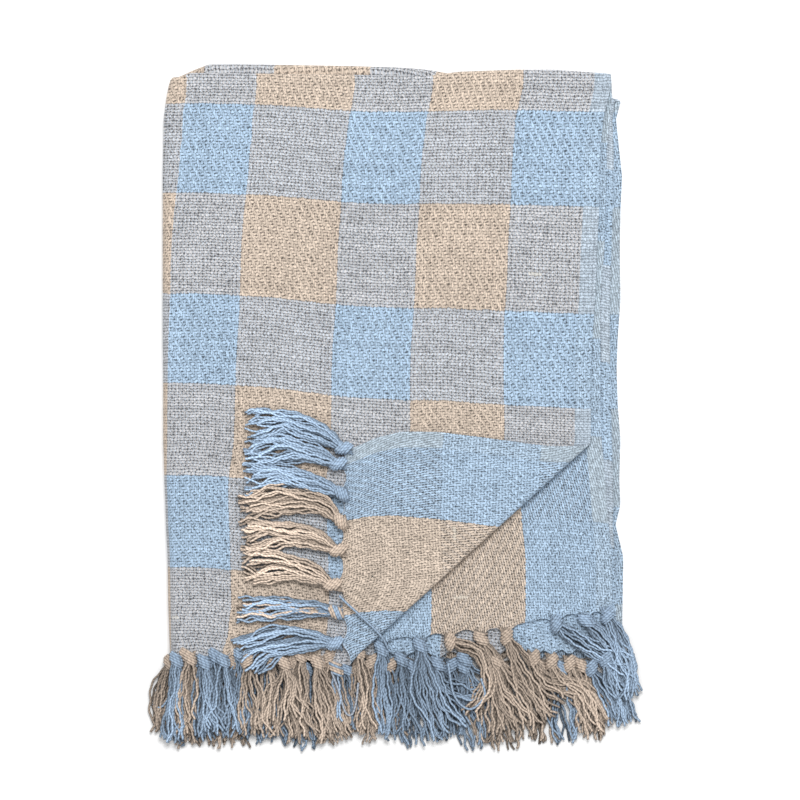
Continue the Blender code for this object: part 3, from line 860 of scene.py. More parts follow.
def creased(points, layer_of):
    """The cloth's layers with their soft creases."""
    moved = points.copy()
    for layer, x, y, degrees, length, width, height in CREASES:
        turn = math.radians(degrees)
        ahead = np.array([math.cos(turn), math.sin(turn)])
        beside = np.array([-ahead[1], ahead[0]])
        away = points[:, :2] - np.array([x, y]) * MM
        along = np.abs(away @ ahead) / (length * MM / 2)
        across = (away @ beside) / (width * MM)
        rise = height * MM * np.exp(-across * across) * (1 - smooth(along))
        moved[:, 2] += np.where(layer_of == layer, rise, 0)
    return moved


def build_cloth(settings):
    """The checked cloth's mesh, folded, with its corner turned and its hems drawn into the knots."""
    mesh = flat_sheet(settings.thickness, settings.cell)
    flat = mesh_points(mesh)
    points, weave = stacked(flat)
    set_mesh_points(mesh, points)
    values = np.column_stack([weave, HALF_ALONG - np.abs(flat[:, 1])])
    point_values(mesh, "weave_place", "FLOAT_VECTOR").data.foreach_set(
        "vector", values.astype(np.float32).ravel()
    )
    cut_diagonals(mesh)
    place = np.empty(len(mesh.vertices) * 3)
    point_values(mesh, "weave_place", "FLOAT_VECTOR").data.foreach_get("vector", place)
    place = place.reshape(-1, 3)
    points = mesh_points(mesh)
    start, outward = diagonal()
    past = points[:, :2] @ outward.xy - start.xy.dot(outward.xy)
    level = np.clip((points[:, 2] / LAYER_PITCH).astype(int), 0, 3)
    layer_of = np.array([4, 3, 2, 0])[level]
    is_front = points[:, 2] > FRONT_LEVEL - EPSILON
    layer_of[is_front & (past > 0)] = 1
    points[is_front] = turned(points[is_front])
    points = gathered(points, place[:, 2], layer_of)
    points = creased(points, layer_of)
    set_mesh_points(mesh, settled(points))
    layer = mesh.uv_layers.get("Weave") or mesh.uv_layers.new(name="Weave")
    layer.data.foreach_set("uv", place[corner_points(mesh), :2].astype(np.float32).ravel())
    mesh.attributes.remove(mesh.attributes["weave_place"])
    return mesh


class Value:
    """A value on a node board. Sums and products of such values add the nodes that reckon them."""

    def __init__(self, board, socket):
        self.board = board
        self.socket = socket

    def __add__(self, other):
        return self.board.math("ADD", self, other)

    def __sub__(self, other):
        return self.board.math("SUBTRACT", self, other)

    def __rsub__(self, other):
        return self.board.math("SUBTRACT", other, self)

    def __mul__(self, other):
        return self.board.math("MULTIPLY", self, other)

    def __truediv__(self, other):
        return self.board.math("DIVIDE", self, other)

    __rmul__ = __mul__


class Board:
    """Adds nodes to a tree, and joins them as they are made."""

    def __init__(self, tree):
        self.tree = tree

    def node(self, kind, **settings):
        made = self.tree.nodes.new(kind)
        for name, value in settings.items():
            setattr(made, name, value)
        return made

    def feed(self, socket, value):
        if isinstance(value, Value):
            self.tree.links.new(value.socket, socket)
        else:
            socket.default_value = value

    def fed(self, node, sockets, values, output=0):
        """A node's output, with its sockets fed with these values."""
        for socket, value in zip(sockets, values):
            self.feed(socket, value)
        return Value(self, node.outputs[output])

    def math(self, operation, *values, clamp=False):
        node = self.node("ShaderNodeMath", operation=operation, use_clamp=clamp)
        return self.fed(node, node.inputs, values)

    def floor(self, value):
        return self.math("FLOOR", value)

    def fraction(self, value):
        return self.math("FRACT", value)

    def wave(self, turns):
        """A cosine that repeats for each whole number."""
        return self.math("COSINE", turns * (2 * math.pi))

    def blend(self, share, first, second):
        """first where share is 0 and second where it is 1."""
        node = self.node("ShaderNodeMix")
        return self.fed(node, node.inputs[:1] + node.inputs[2:4], (share, first, second))

    def colour(self, share, first, second, way="MIX"):
        node = self.node("ShaderNodeMix", data_type="RGBA", blend_type=way)
        return self.fed(node, (node.inputs[0], *node.inputs[6:8]), (share, first, second), 2)

    def tinted(self, colour, tint):
        """A colour multiplied by another, or by one value."""
        if isinstance(tint, Value):
            tint = self.place(tint, tint, tint)
        return self.colour(1.0, colour, tint, "MULTIPLY")

    def place(self, across, along, up=0.0):
        node = self.node("ShaderNodeCombineXYZ")
        return self.fed(node, node.inputs, (across, along, up))

    def noise(self, place, scale, detail):
        node = self.node("ShaderNodeTexNoise")
        sockets = [node.inputs[label] for label in ("Vector", "Scale", "Detail")]
        return self.fed(node, sockets, (place, scale, detail))

    def random(self, across, along, number):
        """A random value for each place, out of the set that the number gives."""
        node = self.node("ShaderNodeTexWhiteNoise", noise_dimensions="3D")
        return self.fed(node, [node.inputs["Vector"]], [self.place(across, along, number)])

    def steps(self, at, changes):
        """0 and 1 by turns, changing at each of these places along a value."""
        node = self.node("ShaderNodeValToRGB")
        ramp = node.color_ramp
        ramp.interpolation = "CONSTANT"
        ramp.elements[0].position = 0
        ramp.elements[0].color = (0, 0, 0, 1)
        ramp.elements.remove(ramp.elements[1])
        for number, change in enumerate(changes):
            tone = float(number % 2 == 0)
            ramp.elements.new(change).color = (tone, tone, tone, 1)
        return self.fed(node, node.inputs, [at])

    def group(self, tree, values):
        """A group's outputs by name, with its inputs fed with these values by name."""
        node = self.node("ShaderNodeGroup", node_tree=tree)
        for label, value in values.items():
            self.feed(node.inputs[label], value)
        return {socket.name: Value(self, socket) for socket in node.outputs}

    def layout(self, name):
        """The two coordinates of a piece's own UV map."""
        uv = self.node("ShaderNodeUVMap", uv_map=name)
        parts = self.node("ShaderNodeSeparateXYZ")
        self.tree.links.new(uv.outputs[0], parts.inputs[0])
        return Value(self, parts.outputs[0]), Value(self, parts.outputs[1])

    def attribute(self, name):
        return Value(self, self.node("ShaderNodeAttribute", attribute_name=name).outputs["Fac"])


def new_group(name, inputs, outputs):
    """A shader node group with named sockets: the group, its board, its inputs and its ends."""
    group = bpy.data.node_groups.new(name, "ShaderNodeTree")
    for label, value in inputs.items():
        socket = group.interface.new_socket(label, in_out="INPUT", socket_type="NodeSocketFloat")
        socket.default_value = value
    for label in outputs:
        group.interface.new_socket(label, in_out="OUTPUT", socket_type="NodeSocketFloat")
    board = Board(group)
    sockets = board.node("NodeGroupInput").outputs
    start = {label: Value(board, sockets[label]) for label in inputs}
    return group, board, start, board.node("NodeGroupOutput").inputs


def stripes_group():
    """Where the cloth's stripes are: 0 for blue and 1 for beige, for each set of yarns."""
    group, board, start, end = new_group(
        "cloth_stripes", {"Across": 0.0, "Along": 0.0}, ["Warp Beige", "Weft Beige"]
    )
    warp = [at * MM / WIDTH_OF_CLOTH for at in WARP_STRIPES]
    weft = [(at - WEFT_START) * MM / WEFT_LENGTH for at in WEFT_ROWS]
    along = (start["Along"] - WEFT_START * MM) / WEFT_LENGTH
    board.feed(end["Warp Beige"], board.steps(start["Across"] / WIDTH_OF_CLOTH, warp))
    board.feed(end["Weft Beige"], board.steps(along, weft))
    return group


def bulge(share):
    """The round top of a yarn across its width, from 0 at its sides to 1 in the middle."""
    centred = share * 2.0 - 1.0
    return 1.0 - centred * centred


def pair_gaps(board, ends, picks):
    """The holes that the reed leaves between each two warp yarns and each two picks: 1 inside."""
    beside = board.wave(ends * 0.5) * 0.5 + 0.5
    between = board.wave(picks) * 0.5 + 0.5
    return beside * between


def leaning(board, share, lean, turns):
    """A yarn's share across its width, shifted along its float so that the float lies aslant."""
    shifted = share - (board.fraction(turns) - 0.5) * lean
    node = board.node("ShaderNodeClamp")
    return board.fed(node, node.inputs, (shifted, -LEAN_LIMIT, 1 + LEAN_LIMIT))


def crossings(board, ends, picks, plain, mixed, wrong):
    """The heights of the warp and the weft where they cross, in parts of a yarn's height.

    The twill repeats over four yarns and the plain weave over two, so a turn is four yarns long.
    """
    warp_turns = (board.floor(ends) + picks) * 0.25
    weft_turns = (ends + board.floor(picks)) * 0.25
    warp_wave, weft_wave = (
        board.blend(plain, board.wave(turns - 0.25), board.wave(turns * 2.0 - 0.25))
        for turns in (warp_turns, weft_turns)
    )
    floating = mixed - plain
    slant = board.blend(wrong, TWILL_LEAN, WRONG_TWILL_LEAN)
    slant = board.blend(floating, slant, FLOAT_LEAN) * (1.0 - plain)
    weft_slant = (1.0 - mixed) * board.blend(wrong, WEFT_LEAN, WRONG_WEFT_LEAN)
    end_share = leaning(board, board.fraction(ends), slant, warp_turns + 0.25)
    pick_share = leaning(board, board.fraction(picks), weft_slant, weft_turns + 0.75)
    lift = plain * PLAIN_LIFT + WARP_LIFT + floating * FLOAT_LIFT
    warp = bulge(end_share) * YARN_ROUND + lift + warp_wave * YARN_RISE
    weft_round = plain * PLAIN_ROUNDER + YARN_ROUND
    weft = bulge(pick_share) * weft_round - weft_wave * YARN_RISE
    return warp, weft, floating


def weave_group(stripes):
    """Warp and weft passing over each other: twill where their colours match.

    Where they differ it is plain on the right side, and on the wrong side the warp floats.
    """
    inputs = {
        "Across": 0.0, "Along": 0.0, "End Pitch": 0.0017, "Pick Pitch": 0.0026, "Wander": 1.2,
        "Wrong Side": 0.0,
    }
    outputs = ["Tone", "Depth", "Height", "Yarn Shade", "Fleck", "Slub", "Selvedge"]
    group, board, start, end = new_group("loom_weave", inputs, outputs)
    across, along = start["Across"], start["Along"]
    yarns = [across / start["End Pitch"], along / start["Pick Pitch"]]
    for scale, detail, share in WANDERS:
        for number, aside in enumerate((0.0, WEFT_NOISE_ASIDE)):
            noise = board.noise(board.place(across + aside, along), scale, detail)
            yarns[number] = yarns[number] + (noise - 0.5) * (start["Wander"] * share)
    ends, picks = yarns
    end_number, pick_number = board.floor(ends), board.floor(picks)
    stripe = board.group(stripes, {
        "Across": end_number * start["End Pitch"], "Along": pick_number * start["Pick Pitch"],
    })
    warp_beige, weft_beige = stripe["Warp Beige"], stripe["Weft Beige"]
    mixed = board.math("ABSOLUTE", warp_beige - weft_beige)
    plain = mixed * (1.0 - start["Wrong Side"])
    warp, weft, floating = crossings(board, ends, picks, plain, mixed, start["Wrong Side"])
    on_top = board.math("GREATER_THAN", warp, weft)
    place = board.place(across, along)
    fuzz = (board.noise(place, FUZZ_SCALE, 1.0) - 0.5) * FUZZ
    gap = (plain * (PLAIN_PAIR_GAP - PAIR_GAP) + PAIR_GAP) * pair_gaps(board, ends, picks)
    height = fuzz + board.math("MAXIMUM", warp, weft) - gap
    # How deep the weave lies, which sets the painted shade in its crevices
    low = plain * PLAIN_DEEPER + DEPTH_START + floating * FLOAT_DEEPER

    tone = board.blend(on_top, weft_beige, warp_beige)
    tone = (tone - 0.5) * (mixed * (YARN_BLEED - 1) + 1.0) + 0.5
    tone = tone + (warp_beige - 0.5) * FLOAT_TINT * floating - plain * PLAIN_BLUER
    from_edge = board.math("MINIMUM", WIDTH_OF_CLOTH - across, across)
    in_band = board.math("LESS_THAN", from_edge, SELVEDGE_BAND)
    tone = board.blend(in_band * SELVEDGE_COVER, tone, warp_beige)

    warp_random = board.random(end_number, board.floor(along * WARP_LENGTHS), WARP_SET)
    weft_random = board.random(board.floor(across * WEFT_LENGTHS), pick_number, WEFT_SET)
    yarn_random = board.blend(on_top, weft_random, warp_random)
    cell_random = board.random(end_number, pick_number, CROSSING_SET)
    slub_random = board.random(board.floor(ends / SLUB_ENDS), pick_number, SLUB_SET)
    results = {
        "Tone": board.math("ADD", tone, 0.0, clamp=True),
        "Depth": board.math("DIVIDE", height - low, DEPTH_RANGE, clamp=True),
        "Height": height,
        "Yarn Shade": yarn_random * YARN_SHARE + cell_random * (1 - YARN_SHARE),
        "Fleck": flecks(board, place),
        "Slub": board.math("GREATER_THAN", slub_random, SLUB_LEAST),
        "Selvedge": in_band * (mixed * (1 - SELVEDGE_IN_BLUE) + SELVEDGE_IN_BLUE),
    }
    for label, value in results.items():
        board.feed(end[label], value)
    return group


def flecks(board, place):
    """Small dark bits of plant spun into the cotton, ragged and far apart."""
    cells = board.node("ShaderNodeTexVoronoi", voronoi_dimensions="2D", feature="F1")
    board.feed(cells.inputs["Vector"], place)
    board.feed(cells.inputs["Scale"], FLECK_SCALE)
    parts = board.node("ShaderNodeSeparateColor")
    board.feed(parts.inputs[0], Value(board, cells.outputs["Color"]))
    chosen = board.math("GREATER_THAN", Value(board, parts.outputs[0]), 1 - FLECK_SHARE)
    size = board.noise(place, FLECK_EDGE_SCALE, 1.0) * FLECK_RAGGED + FLECK_SIZE
    near = board.math("LESS_THAN", Value(board, cells.outputs["Distance"]), size)
    return chosen * near


def ply_group():
    """Two plies twisted into a yarn: their height across the groove between them."""
    group, board, start, end = new_group(
        "plied_yarn", {"Turn": 0.0, "Run": 0.0, "Twist Length": 0.0066}, ["Height"]
    )
    turns = start["Turn"] + start["Run"] / start["Twist Length"]
    board.feed(end["Height"], board.math("ABSOLUTE", board.wave(turns)))
    return group


def new_material(name):
    """A matte cotton material: the material, its board and its shader."""
    material = bpy.data.materials.new(name)
    material.use_nodes = True
    shader = material.node_tree.nodes["Principled BSDF"]
    for label, value in COTTON_SHADER.items():
        shader.inputs[label].default_value = value
    return material, Board(material.node_tree), shader


def finish_material(board, shader, colour, height, bump):
    """Joins a colour and a height to the shader. The bump is its strength and its distance."""
    node = board.node("ShaderNodeBump")
    node.inputs["Strength"].default_value = bump[0]
    node.inputs["Distance"].default_value = bump[1]
    board.feed(node.inputs["Height"], height)
    board.feed(shader.inputs["Base Color"], colour)
    board.feed(shader.inputs["Normal"], Value(board, node.outputs[0]))


def cloth_material(name, settings, weave, wrong_side, selvedge):
    """One side of the checked cloth."""
    material, board, shader = new_material(name)
    across, along = board.layout("Weave")
    loom = board.group(weave, {
        "Across": across, "Along": along, "End Pitch": settings.end_pitch,
        "Pick Pitch": settings.pick_pitch, "Wrong Side": wrong_side,
    })
    colour = board.colour(loom["Tone"], (*settings.blue, 1), (*settings.beige, 1))
    colour = board.colour(loom["Selvedge"], colour, board.tinted(colour, selvedge))
    shade = loom["Yarn Shade"] * SHADE_RANGE + (1 - SHADE_RANGE / 2)
    # Painted shade in the weave's crevices, lighter in the selvedge
    dark = loom["Depth"] * (1 - CREVICE_PAINTED_SHADE) + CREVICE_PAINTED_SHADE
    dark = board.math("MAXIMUM", dark, loom["Selvedge"] * SELVEDGE_LEAST_PAINTED_SHADE)
    colour = board.tinted(colour, shade * dark)
    colour = board.colour(loom["Fleck"], colour, FLECK)
    colour = board.colour(loom["Slub"] * SLUB_SHARE, colour, SLUB)
    finish_material(board, shader, colour, loom["Height"], CLOTH_BUMP)
    return material


def yarn_material(name, settings, plies):
    """The fringe's plied yarns, blue or beige by the yarn."""
    material, board, shader = new_material(name)
    turn, run = board.layout("Ply")
    height = board.group(
        plies, {"Turn": turn, "Run": run, "Twist Length": settings.twist}
    )["Height"]
    tone = board.attribute("tone")
    colour = board.colour(tone, (*settings.blue, 1), (*settings.beige, 1))
    # The shade attribute is each yarn's own tone by chance, with its painted light and shade
    colour = board.tinted(colour, board.attribute("shade"))
    # Painted shade in the groove between the plies
    groove = board.math("MULTIPLY", height, GROOVE_SLOPE, clamp=True)
    colour = board.colour(groove, board.tinted(colour, GROOVE_PAINTED_SHADE), colour)
    finish_material(board, shader, colour, height, YARN_BUMP)
    return material


def straight_yarns(count, rings):
    """Many copies of one straight tube, each of radius 1 and from 0 to 1 along z."""
    bm = bmesh.new()
    bmesh.ops.create_cone(
        bm, cap_ends=True, cap_tris=False, segments=YARN_SIDES, radius1=1, radius2=1, depth=1
    )
    bmesh.ops.translate(bm, vec=(0, 0, 0.5), verts=bm.verts)
    upright = [e for e in bm.edges if abs(e.verts[0].co.z - e.verts[1].co.z) > 0.5]
    bmesh.ops.subdivide_edges(bm, edges=upright, cuts=rings - 2, use_grid_fill=True)
    uv = bm.loops.layers.uv.new("Ply")
    for face in bm.faces:
        face.smooth = True
        turns = [math.atan2(c.vert.co.y, c.vert.co.x) / (2 * math.pi) % 1 for c in face.loops]
        for corner, turn in zip(face.loops, turns):
            corner[uv].uv = (turn + (max(turns) - turn > 0.5), corner.vert.co.z)
    single = linked(bpy.context, "straight_yarn", mesh_of(bm, "straight_yarn"))
    copies = single.modifiers.new("copies", "ARRAY")
    copies.fit_type = "FIXED_COUNT"
    copies.count = count
    copies.use_relative_offset = False
    graph = bpy.context.evaluated_depsgraph_get()
    many = bpy.data.meshes.new_from_object(single.evaluated_get(graph))
    bpy.data.objects.remove(single)
    return many


def laid_yarns(side_painted_shade, paths, radii, references, outwards, tones, shades):
    """Tubes along these paths, with painted shade as dark as the side's painted shade where they don't
    face outward.

    A reference is a direction that its path never follows.
    """
    count, rings = paths.shape[:2]
    mesh = straight_yarns(count, rings)
    local = mesh_points(mesh).reshape(count, -1, 3)
    ring = np.rint(local[0, :, 2] * (rings - 1)).astype(int)
    tangent = unit(np.gradient(paths, axis=1))
    side = unit(np.cross(tangent, references[:, None, :]))
    up = np.cross(side, tangent)
    thick = radii[:, ring, None]
    around = local[:, :, :1] * side[:, ring] + local[:, :, 1:2] * up[:, ring]
    points = paths[:, ring] + thick * around
    # Painted shade on the sides that face away from the outward direction
    open_side = np.clip((around * outwards[:, ring]).sum(axis=2), 0, 1) ** SIDE_PAINTED_SHADE_POWER
    shades = shades[:, ring] * (side_painted_shade + (1 - side_painted_shade) * open_side)
    tones = np.repeat(tones[:, None], local.shape[1], axis=1)
    set_mesh_points(mesh, points.reshape(-1, 3))
    steps = np.linalg.norm(np.diff(paths, axis=1), axis=2)
    starts = np.arange(count)[:, None] * PLY_SHIFT
    run = np.concatenate([starts, starts + np.cumsum(steps, axis=1)], axis=1)
    uv = np.empty(len(mesh.loops) * 2)
    mesh.uv_layers["Ply"].data.foreach_get("uv", uv)
    uv = uv.reshape(-1, 2)
    uv[:, 1] = run[:, ring].ravel()[corner_points(mesh)]
    mesh.uv_layers["Ply"].data.foreach_set("uv", uv.astype(np.float32).ravel())
    # The shade holds each yarn's own tone by chance with its painted light and shade
    for name, values in (("tone", tones), ("shade", shades)):
        point_values(mesh, name).data.foreach_set("value", values.astype(np.float32).ravel())
    return mesh


def curve_through(points, samples):
    """Evenly spaced points on a smooth curve through these points, and its length."""
    points = np.array(points, float)
    ends = [2 * points[0] - points[1], *points, 2 * points[-1] - points[-2]]
    along = np.linspace(0, 1, SPAN_STEPS, endpoint=False)[:, None]
    spans = []
    for a, b, c, d in zip(ends, ends[1:], ends[2:], ends[3:]):
        spans.append(
            0.5 * (2 * b + (c - a) * along + (2 * a - 5 * b + 4 * c - d) * along**2
                   + (3 * b - a - 3 * c + d) * along**3)
        )
    dense = np.concatenate([*spans, points[-1:]])
    run = np.concatenate([[0], np.cumsum(np.linalg.norm(np.diff(dense, axis=0), axis=1))])
    even = np.linspace(0, run[-1], samples)
    return np.column_stack([np.interp(even, run, dense[:, axis]) for axis in (0, 1)]), run[-1]


def unit(vectors):
    """Vectors of the same directions, each one long."""
    return vectors / np.linalg.norm(vectors, axis=-1, keepdims=True)


def along_centre(centre, length, share):
    """Level points at these shares of a tassel's middle line, which runs on straight past its end."""
    even = np.linspace(0, 1, CENTRE_POINTS)
    base = np.stack([np.interp(share, even, centre[:, axis]) for axis in (0, 1)], -1)
    beyond = np.maximum(share - 1, 0)[..., None] * length
    base += beyond * unit(centre[-1] - centre[-2])
    return base


def bundle_size(run, length, spread):
    """Half the width and half the height of a tassel's bundle along its run."""
    bundle_end = BUNDLE[-1][0] * MM
    fan = np.clip((run - bundle_end) / (length - bundle_end), 0, FAR_SHARE) ** FAN_POWER
    half_width = column(BUNDLE, 1, run)
    half_width = half_width + (spread * SPREAD_SHARE * MM / 2 - half_width) * fan
    half_height = column(BUNDLE, 2, run)
    half_height = half_height + (TIP_HALF_HEIGHT - half_height) * fan
    return half_width, half_height


def tassel_paths(row, heights, facing, fullness, settings, random):
    """One tassel's yarns as paths from the hem, through the knot, to their tips."""
    *places, spread, count, _ = row
    count = round(count * fullness)
    hem_height, knot_height, tip_height = (height * MM for height in heights)
    knot, middle, lower, tip = np.array(places, float).reshape(4, 2) * MM
    root = knot - np.array(facing) * ROOT_TO_KNOT
    centre, length = curve_through([root, knot, middle, lower, tip], CENTRE_POINTS)
    lateral = (np.arange(count) + 0.5) / count * 2 - 1
    lateral = lateral + random.uniform(-0.5, 0.5, count) / count
    crown = np.sqrt(1 - FLATTER_SIDES * np.minimum(lateral**2, 1))
    upward = random.uniform(-1, 1, count) * crown
    at_tip = lateral + random.normal(0, TIP_MIXING, count)
    reach = 1 + random.uniform(*TIP_SHIFTS, count)
    share = np.linspace(0, 1, YARN_RINGS)[None, :] * reach[:, None]
    base = along_centre(centre, length, share)
    tangent = unit(np.gradient(base, axis=1))
    normal = np.stack([-tangent[..., 1], tangent[..., 0]], -1)
    run = share * length
    half_width, half_height = bundle_size(run, length, spread)

    phase = random.uniform(0, 2 * math.pi, (count, 2))
    wavelength = random.uniform(*WANDER_LENGTHS, (count, 2))
    sway = settings.waviness * smooth(run / length) + LEAST_SWAY
    wander = np.sin(2 * math.pi * run / wavelength[:, :1] + phase[:, :1])
    clump = np.round(lateral * CLUMPS) * CLUMP_PHASE + phase[0, 0]
    clump_wander = np.sin(2 * math.pi * run / CLUMP_LENGTH + clump[:, None])
    curl = random.choice(CURL_WAYS, count)[:, None] * random.uniform(*CURLS, (count, 1)) * MM
    curl = curl * np.clip((share - CURL_START) / (1 - CURL_START), 0, 1) ** 2
    strays = (random.uniform(0, 1, count) < STRAY_SHARE)[:, None]
    stray = strays * random.uniform(*STRAYS, (count, 1)) * MM
    stray = stray * np.sin(math.pi * np.clip(share, 0, 1)) ** 2
    mixing = smooth((run - MIX_START) / (length * MIX_SHARE))
    beside = lateral[:, None] * (1 - mixing) + at_tip[:, None] * mixing
    crimp = CRIMP * np.sin(2 * math.pi * run / CRIMP_LENGTH + CRIMP_PHASES * phase[:, :1])
    offset = beside * half_width + sway * (WANDER_SHARE * wander + clump_wander)
    offset = offset + crimp + curl + stray

    z = hem_height + (knot_height - hem_height) * smooth(run / ROOT_TO_KNOT)
    z = z + (tip_height - knot_height) * smooth((run - FALL_START) / (length * FALL_SHARE))
    z = z + upward[:, None] * half_height + RIPPLE * np.sin(run / RIPPLE_LENGTH + phase[:, 1:])
    radius = settings.yarn / 2 * random.uniform(*THICKNESSES, (count, 1)) * np.ones_like(share)
    level = base + normal * offset[..., None]
    return lying(np.concatenate([level, z[..., None]], -1), radius), radius, upward


def lying(paths, radii):
    """Paths settled with the stack, and no lower than the surface lets their yarns lie."""
    paths = settled(paths.reshape(-1, 3)).reshape(paths.shape)
    paths[..., 2] = np.maximum(paths[..., 2], radii)
    return paths


def wrap_paths(row, heights, facing, settings, random):
    """The turns of a tassel's knot, slanting over the bundle."""
    knot = np.array(row[:2], float) * MM
    ahead = np.array(row[2:4], float) * MM - knot
    axis = unit(unit(ahead) + np.array(facing))
    side = np.array([-axis[1], axis[0]])
    slant = WRAP_SLANT * random.choice([-1, 1])
    across = side * math.cos(slant) + axis * math.sin(slant)
    turn = np.linspace(0, 2 * math.pi, WRAP_RINGS) + random.uniform(0, 1)
    paths = []
    for number in range(WRAPS):
        along = (number - (WRAPS - 1) / 2) * WRAP_SPACING
        size = math.sqrt(1 - (along / (WRAP_CROWN * WRAP_SPACING)) ** 2)
        size = size * random.uniform(*WRAP_SIZES)
        level = knot + axis * along + np.outer(np.cos(turn), across) * WRAP_HALF_WIDTH * size
        z = heights[1] * MM + np.sin(turn) * WRAP_HALF_HEIGHT * size
        paths.append(np.column_stack([level, z]))
    radius = np.full((WRAPS, WRAP_RINGS), settings.yarn / 2 * WRAP_THICKER)
    return lying(np.array(paths), radius), radius, np.array([*axis, 0])


def toned(tone, count, random):
    """Each yarn's colour: blue, beige, or now and then the other where the tassel is mixed."""
    if tone in (0, 1):
        return np.full(count, float(tone))
    return (random.uniform(0, 1, count) < tone).astype(float)


def loose_paths(fringe, settings):
    """A fringe's loose yarns, as a group of paths for each."""
    groups = []
    for name, tone, points in LOOSE_YARNS:
        if name != fringe:
            continue
        level, _ = curve_through([point[:2] for point in points], YARN_RINGS)
        height = np.interp(
            np.linspace(0, 1, YARN_RINGS), np.linspace(0, 1, len(points)), [p[2] for p in points]
        )
        path = settled(np.column_stack([level, height]) * MM)
        radii = np.full((1, YARN_RINGS), settings.yarn / 2)
        up = np.array([[0.0, 0.0, 1.0]])
        outward = np.tile(up, (1, YARN_RINGS, 1))
        groups.append((path[None], radii, up, outward, np.array([tone]), np.ones((1, YARN_RINGS))))
    return groups


def build_fringe(name, tassels, facing, heights, lightness, fullness, settings):
    """One hem's knots and yarns as one mesh."""
    random = np.random.default_rng(settings.seed + len(name) + len(tassels))
    # Painted shade towards the knots
    from_root = smooth(np.linspace(0, ROOT_PAINTED_SHADE_REACH, YARN_RINGS))
    root_painted_shade = ROOT_PAINTED_SHADE + (1 - ROOT_PAINTED_SHADE) * from_root
    yarns, wraps = loose_paths(name, settings), []
    for row in tassels:
        # Painted light on the tassels towards the right, on top of the fringe's lightness
        light = lightness * (1 + RIGHT_PAINTED_LIGHT * smooth((row[0] - RIGHT_START) / RIGHT_WIDTH))
        paths, radii, upward = tassel_paths(row, heights, facing, fullness, settings, random)
        # Each yarn's own tone by chance, with painted shade on the lower yarns of the bundle, times the
        # fringe's lightness
        shades = (random.uniform(*YARN_SHADES, len(paths)) + LOW_YARN_PAINTED_SHADE * upward) * light
        shades = np.outer(shades, root_painted_shade)
        up = np.tile([0.0, 0.0, 1.0], (len(paths), 1))
        outward = np.tile(up[:, None], (1, paths.shape[1], 1))
        yarns.append((paths, radii, up, outward, toned(row[-1], len(paths), random), shades))
        paths, radii, axis = wrap_paths(row, heights, facing, settings, random)
        # The knots' turns take a softened share of the painted light and shade in the fringe's
        # lightness
        shades = random.uniform(*WRAP_SHADES, len(paths)) * math.sqrt(light)
        shades = np.tile(shades[:, None], (1, WRAP_RINGS))
        references = np.tile(axis, (len(paths), 1))
        outward = unit(paths - paths.mean(axis=1, keepdims=True))
        tones = toned(row[-1], len(paths), random)
        wraps.append((paths, radii, references, outward, tones, shades))
    bm = bmesh.new()
    # Painted shade on the sides of the yarns and of the knots' turns
    for side_painted_shade, group in ((SIDE_PAINTED_SHADE, yarns), (WRAP_SIDE_PAINTED_SHADE, wraps)):
        mesh = laid_yarns(side_painted_shade, *(np.concatenate(part) for part in zip(*group)))
        bm.from_mesh(mesh)
        bpy.data.meshes.remove(mesh)
    return mesh_of(bm, name + "_yarns")


def show(context, name, mesh, materials):
    """A finished piece, riding on the blanket's only body."""
    for material in materials:
        mesh.materials.append(material)
    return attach(linked(context, name, mesh), "root")


class BLANKET_OT_set_stage(bpy.types.Operator):
    """Sets the pale floor, the soft light and the camera straight above"""

    bl_idname = "blanket.set_stage"
    bl_label = "Set the stage"

    # The camera's view: its width on the floor, and where its middle is
    VIEW_WIDTH = 722.4 * MM
    VIEW_CENTRE = (2.7 * MM, 5.4 * MM)
    SENSOR = 36.0
    VIEW_HEIGHT = 12.0 * MM
    FLOOR_SIZE = 30.0
    KEY_PLACE = (0.2, 1.5, 2.6)
    KEY_SIZE = 1.5

    def execute(self, context):
        settings = context.scene.blanket_stage
        self.add_floor(context, settings)
        self.add_light(context, settings)
        self.add_camera(context, settings)
        context.scene.view_settings.view_transform = "Standard"
        return {"FINISHED"}

    def add_floor(self, context, settings):
        bm = bmesh.new()
        bmesh.ops.create_grid(bm, x_segments=1, y_segments=1, size=self.FLOOR_SIZE / 2)
        floor = linked(context, "floor", mesh_of(bm, "floor"))
        material, _, shader = new_material("pale_floor")
        shader.inputs["Base Color"].default_value = (*settings.floor, 1)
        shader.inputs["Sheen Weight"].default_value = 0.0
        floor.data.materials.append(material)

    def add_light(self, context, settings):
        lamp = bpy.data.lights.new("key_light", "AREA")
        lamp.shape = "DISK"
        lamp.size = self.KEY_SIZE
        lamp.energy = settings.key
        key = linked(context, "key_light", lamp)
        key.location = self.KEY_PLACE
        key.rotation_euler = (-Vector(self.KEY_PLACE)).to_track_quat("-Z", "Y").to_euler()
        world = bpy.data.worlds.new("studio")
        world.use_nodes = True
        background = world.node_tree.nodes["Background"]
        background.inputs["Color"].default_value = (1, 1, 1, 1)
        background.inputs["Strength"].default_value = settings.fill
        context.scene.world = world

    def add_camera(self, context, settings):
        data = bpy.data.cameras.new("camera")
        data.sensor_width = self.SENSOR
        data.lens = self.SENSOR * (settings.distance - self.VIEW_HEIGHT) / self.VIEW_WIDTH
        camera = linked(context, "camera", data)
        camera.location = (*self.VIEW_CENTRE, settings.distance)
        context.scene.camera = camera


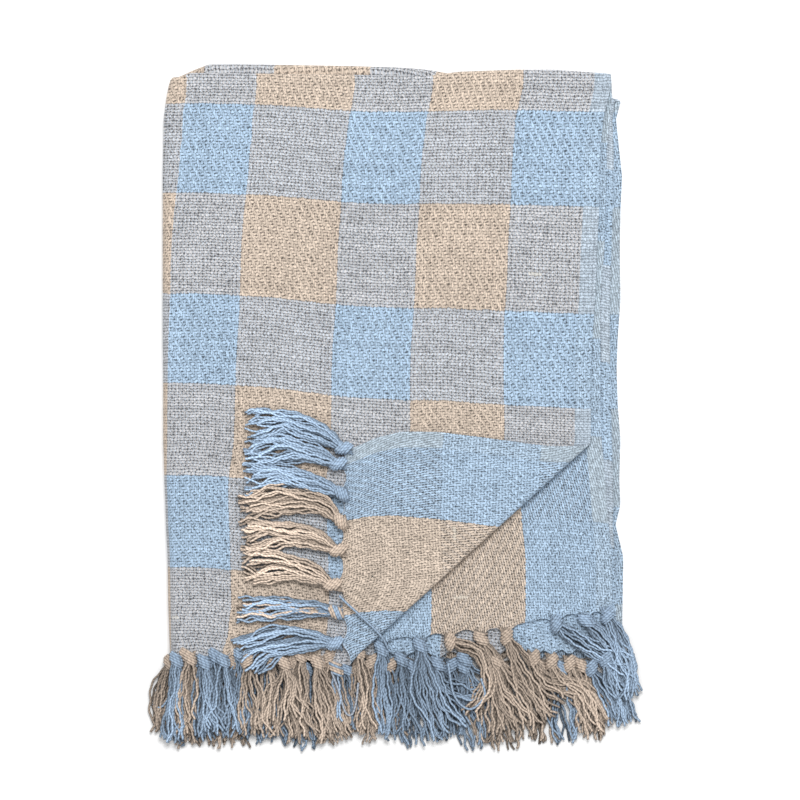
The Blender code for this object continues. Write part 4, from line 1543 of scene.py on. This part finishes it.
class BLANKET_OT_lay_cloth(bpy.types.Operator):
    """Lays the checked cloth, folded in four with one corner turned over"""

    bl_idname = "blanket.lay_cloth"
    bl_label = "Lay the cloth"

    def execute(self, context):
        settings = context.scene.blanket_cloth
        weave = weave_group(stripes_group())
        right = cloth_material("checked_right_side", settings, weave, 0.0, SELVEDGE)
        wrong = cloth_material("checked_wrong_side", settings, weave, 1.0, WRONG_SELVEDGE)
        mesh = build_cloth(settings)
        cloth = show(context, "checked_cloth", mesh, [right, wrong])
        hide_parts("blanket_cloth")
        return {"FINISHED"}


class BLANKET_OT_knot_fringe(bpy.types.Operator):
    """Knots the fringe of plied yarns along every hem"""

    bl_idname = "blanket.knot_fringe"
    bl_label = "Knot the fringe"

    def execute(self, context):
        settings = context.scene.blanket_fringe
        material = yarn_material("plied_cotton", settings, ply_group())
        for name, tassels, facing, *heights, lightness, fullness in FRINGES:
            mesh = build_fringe(name, tassels, facing, heights, lightness, fullness, settings)
            piece = show(context, name + "_yarns", mesh, [material])
            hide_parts(name)
        return {"FINISHED"}


class BLANKET_PT_sidebar(bpy.types.Panel):
    """The blanket's sizes and colours, and the buttons that make it"""

    bl_label = "Blanket"
    bl_idname = "BLANKET_PT_sidebar"
    bl_space_type = "VIEW_3D"
    bl_region_type = "UI"
    bl_category = "Blanket"

    def draw(self, context):
        for group, operator in (
            ("blanket_stage", "blanket.set_stage"),
            ("blanket_cloth", "blanket.lay_cloth"),
            ("blanket_fringe", "blanket.knot_fringe"),
        ):
            box = self.layout.box()
            settings = getattr(context.scene, group)
            for name in settings.__annotations__:
                box.prop(settings, name)
            box.operator(operator)


CLASSES = (
    ClothSettings,
    FringeSettings,
    StageSettings,
    BLANKET_OT_set_stage,
    BLANKET_OT_lay_cloth,
    BLANKET_OT_knot_fringe,
    BLANKET_PT_sidebar,
)


def register():
    for item in CLASSES:
        bpy.utils.register_class(item)
    bpy.types.Scene.blanket_cloth = PointerProperty(type=ClothSettings)
    bpy.types.Scene.blanket_fringe = PointerProperty(type=FringeSettings)
    bpy.types.Scene.blanket_stage = PointerProperty(type=StageSettings)


def unregister():
    del bpy.types.Scene.blanket_stage
    del bpy.types.Scene.blanket_fringe
    del bpy.types.Scene.blanket_cloth
    for item in reversed(CLASSES):
        bpy.utils.unregister_class(item)


def corners(box):
    """A box's two corners as plain lists."""
    return [[float(value) for value in corner] for corner in box]


def main():
    """Makes the whole blanket."""
    register()
    bpy.ops.blanket.set_stage()
    bpy.ops.blanket.lay_cloth()
    bpy.ops.blanket.knot_fringe()


if __name__ == "__main__":
    main()
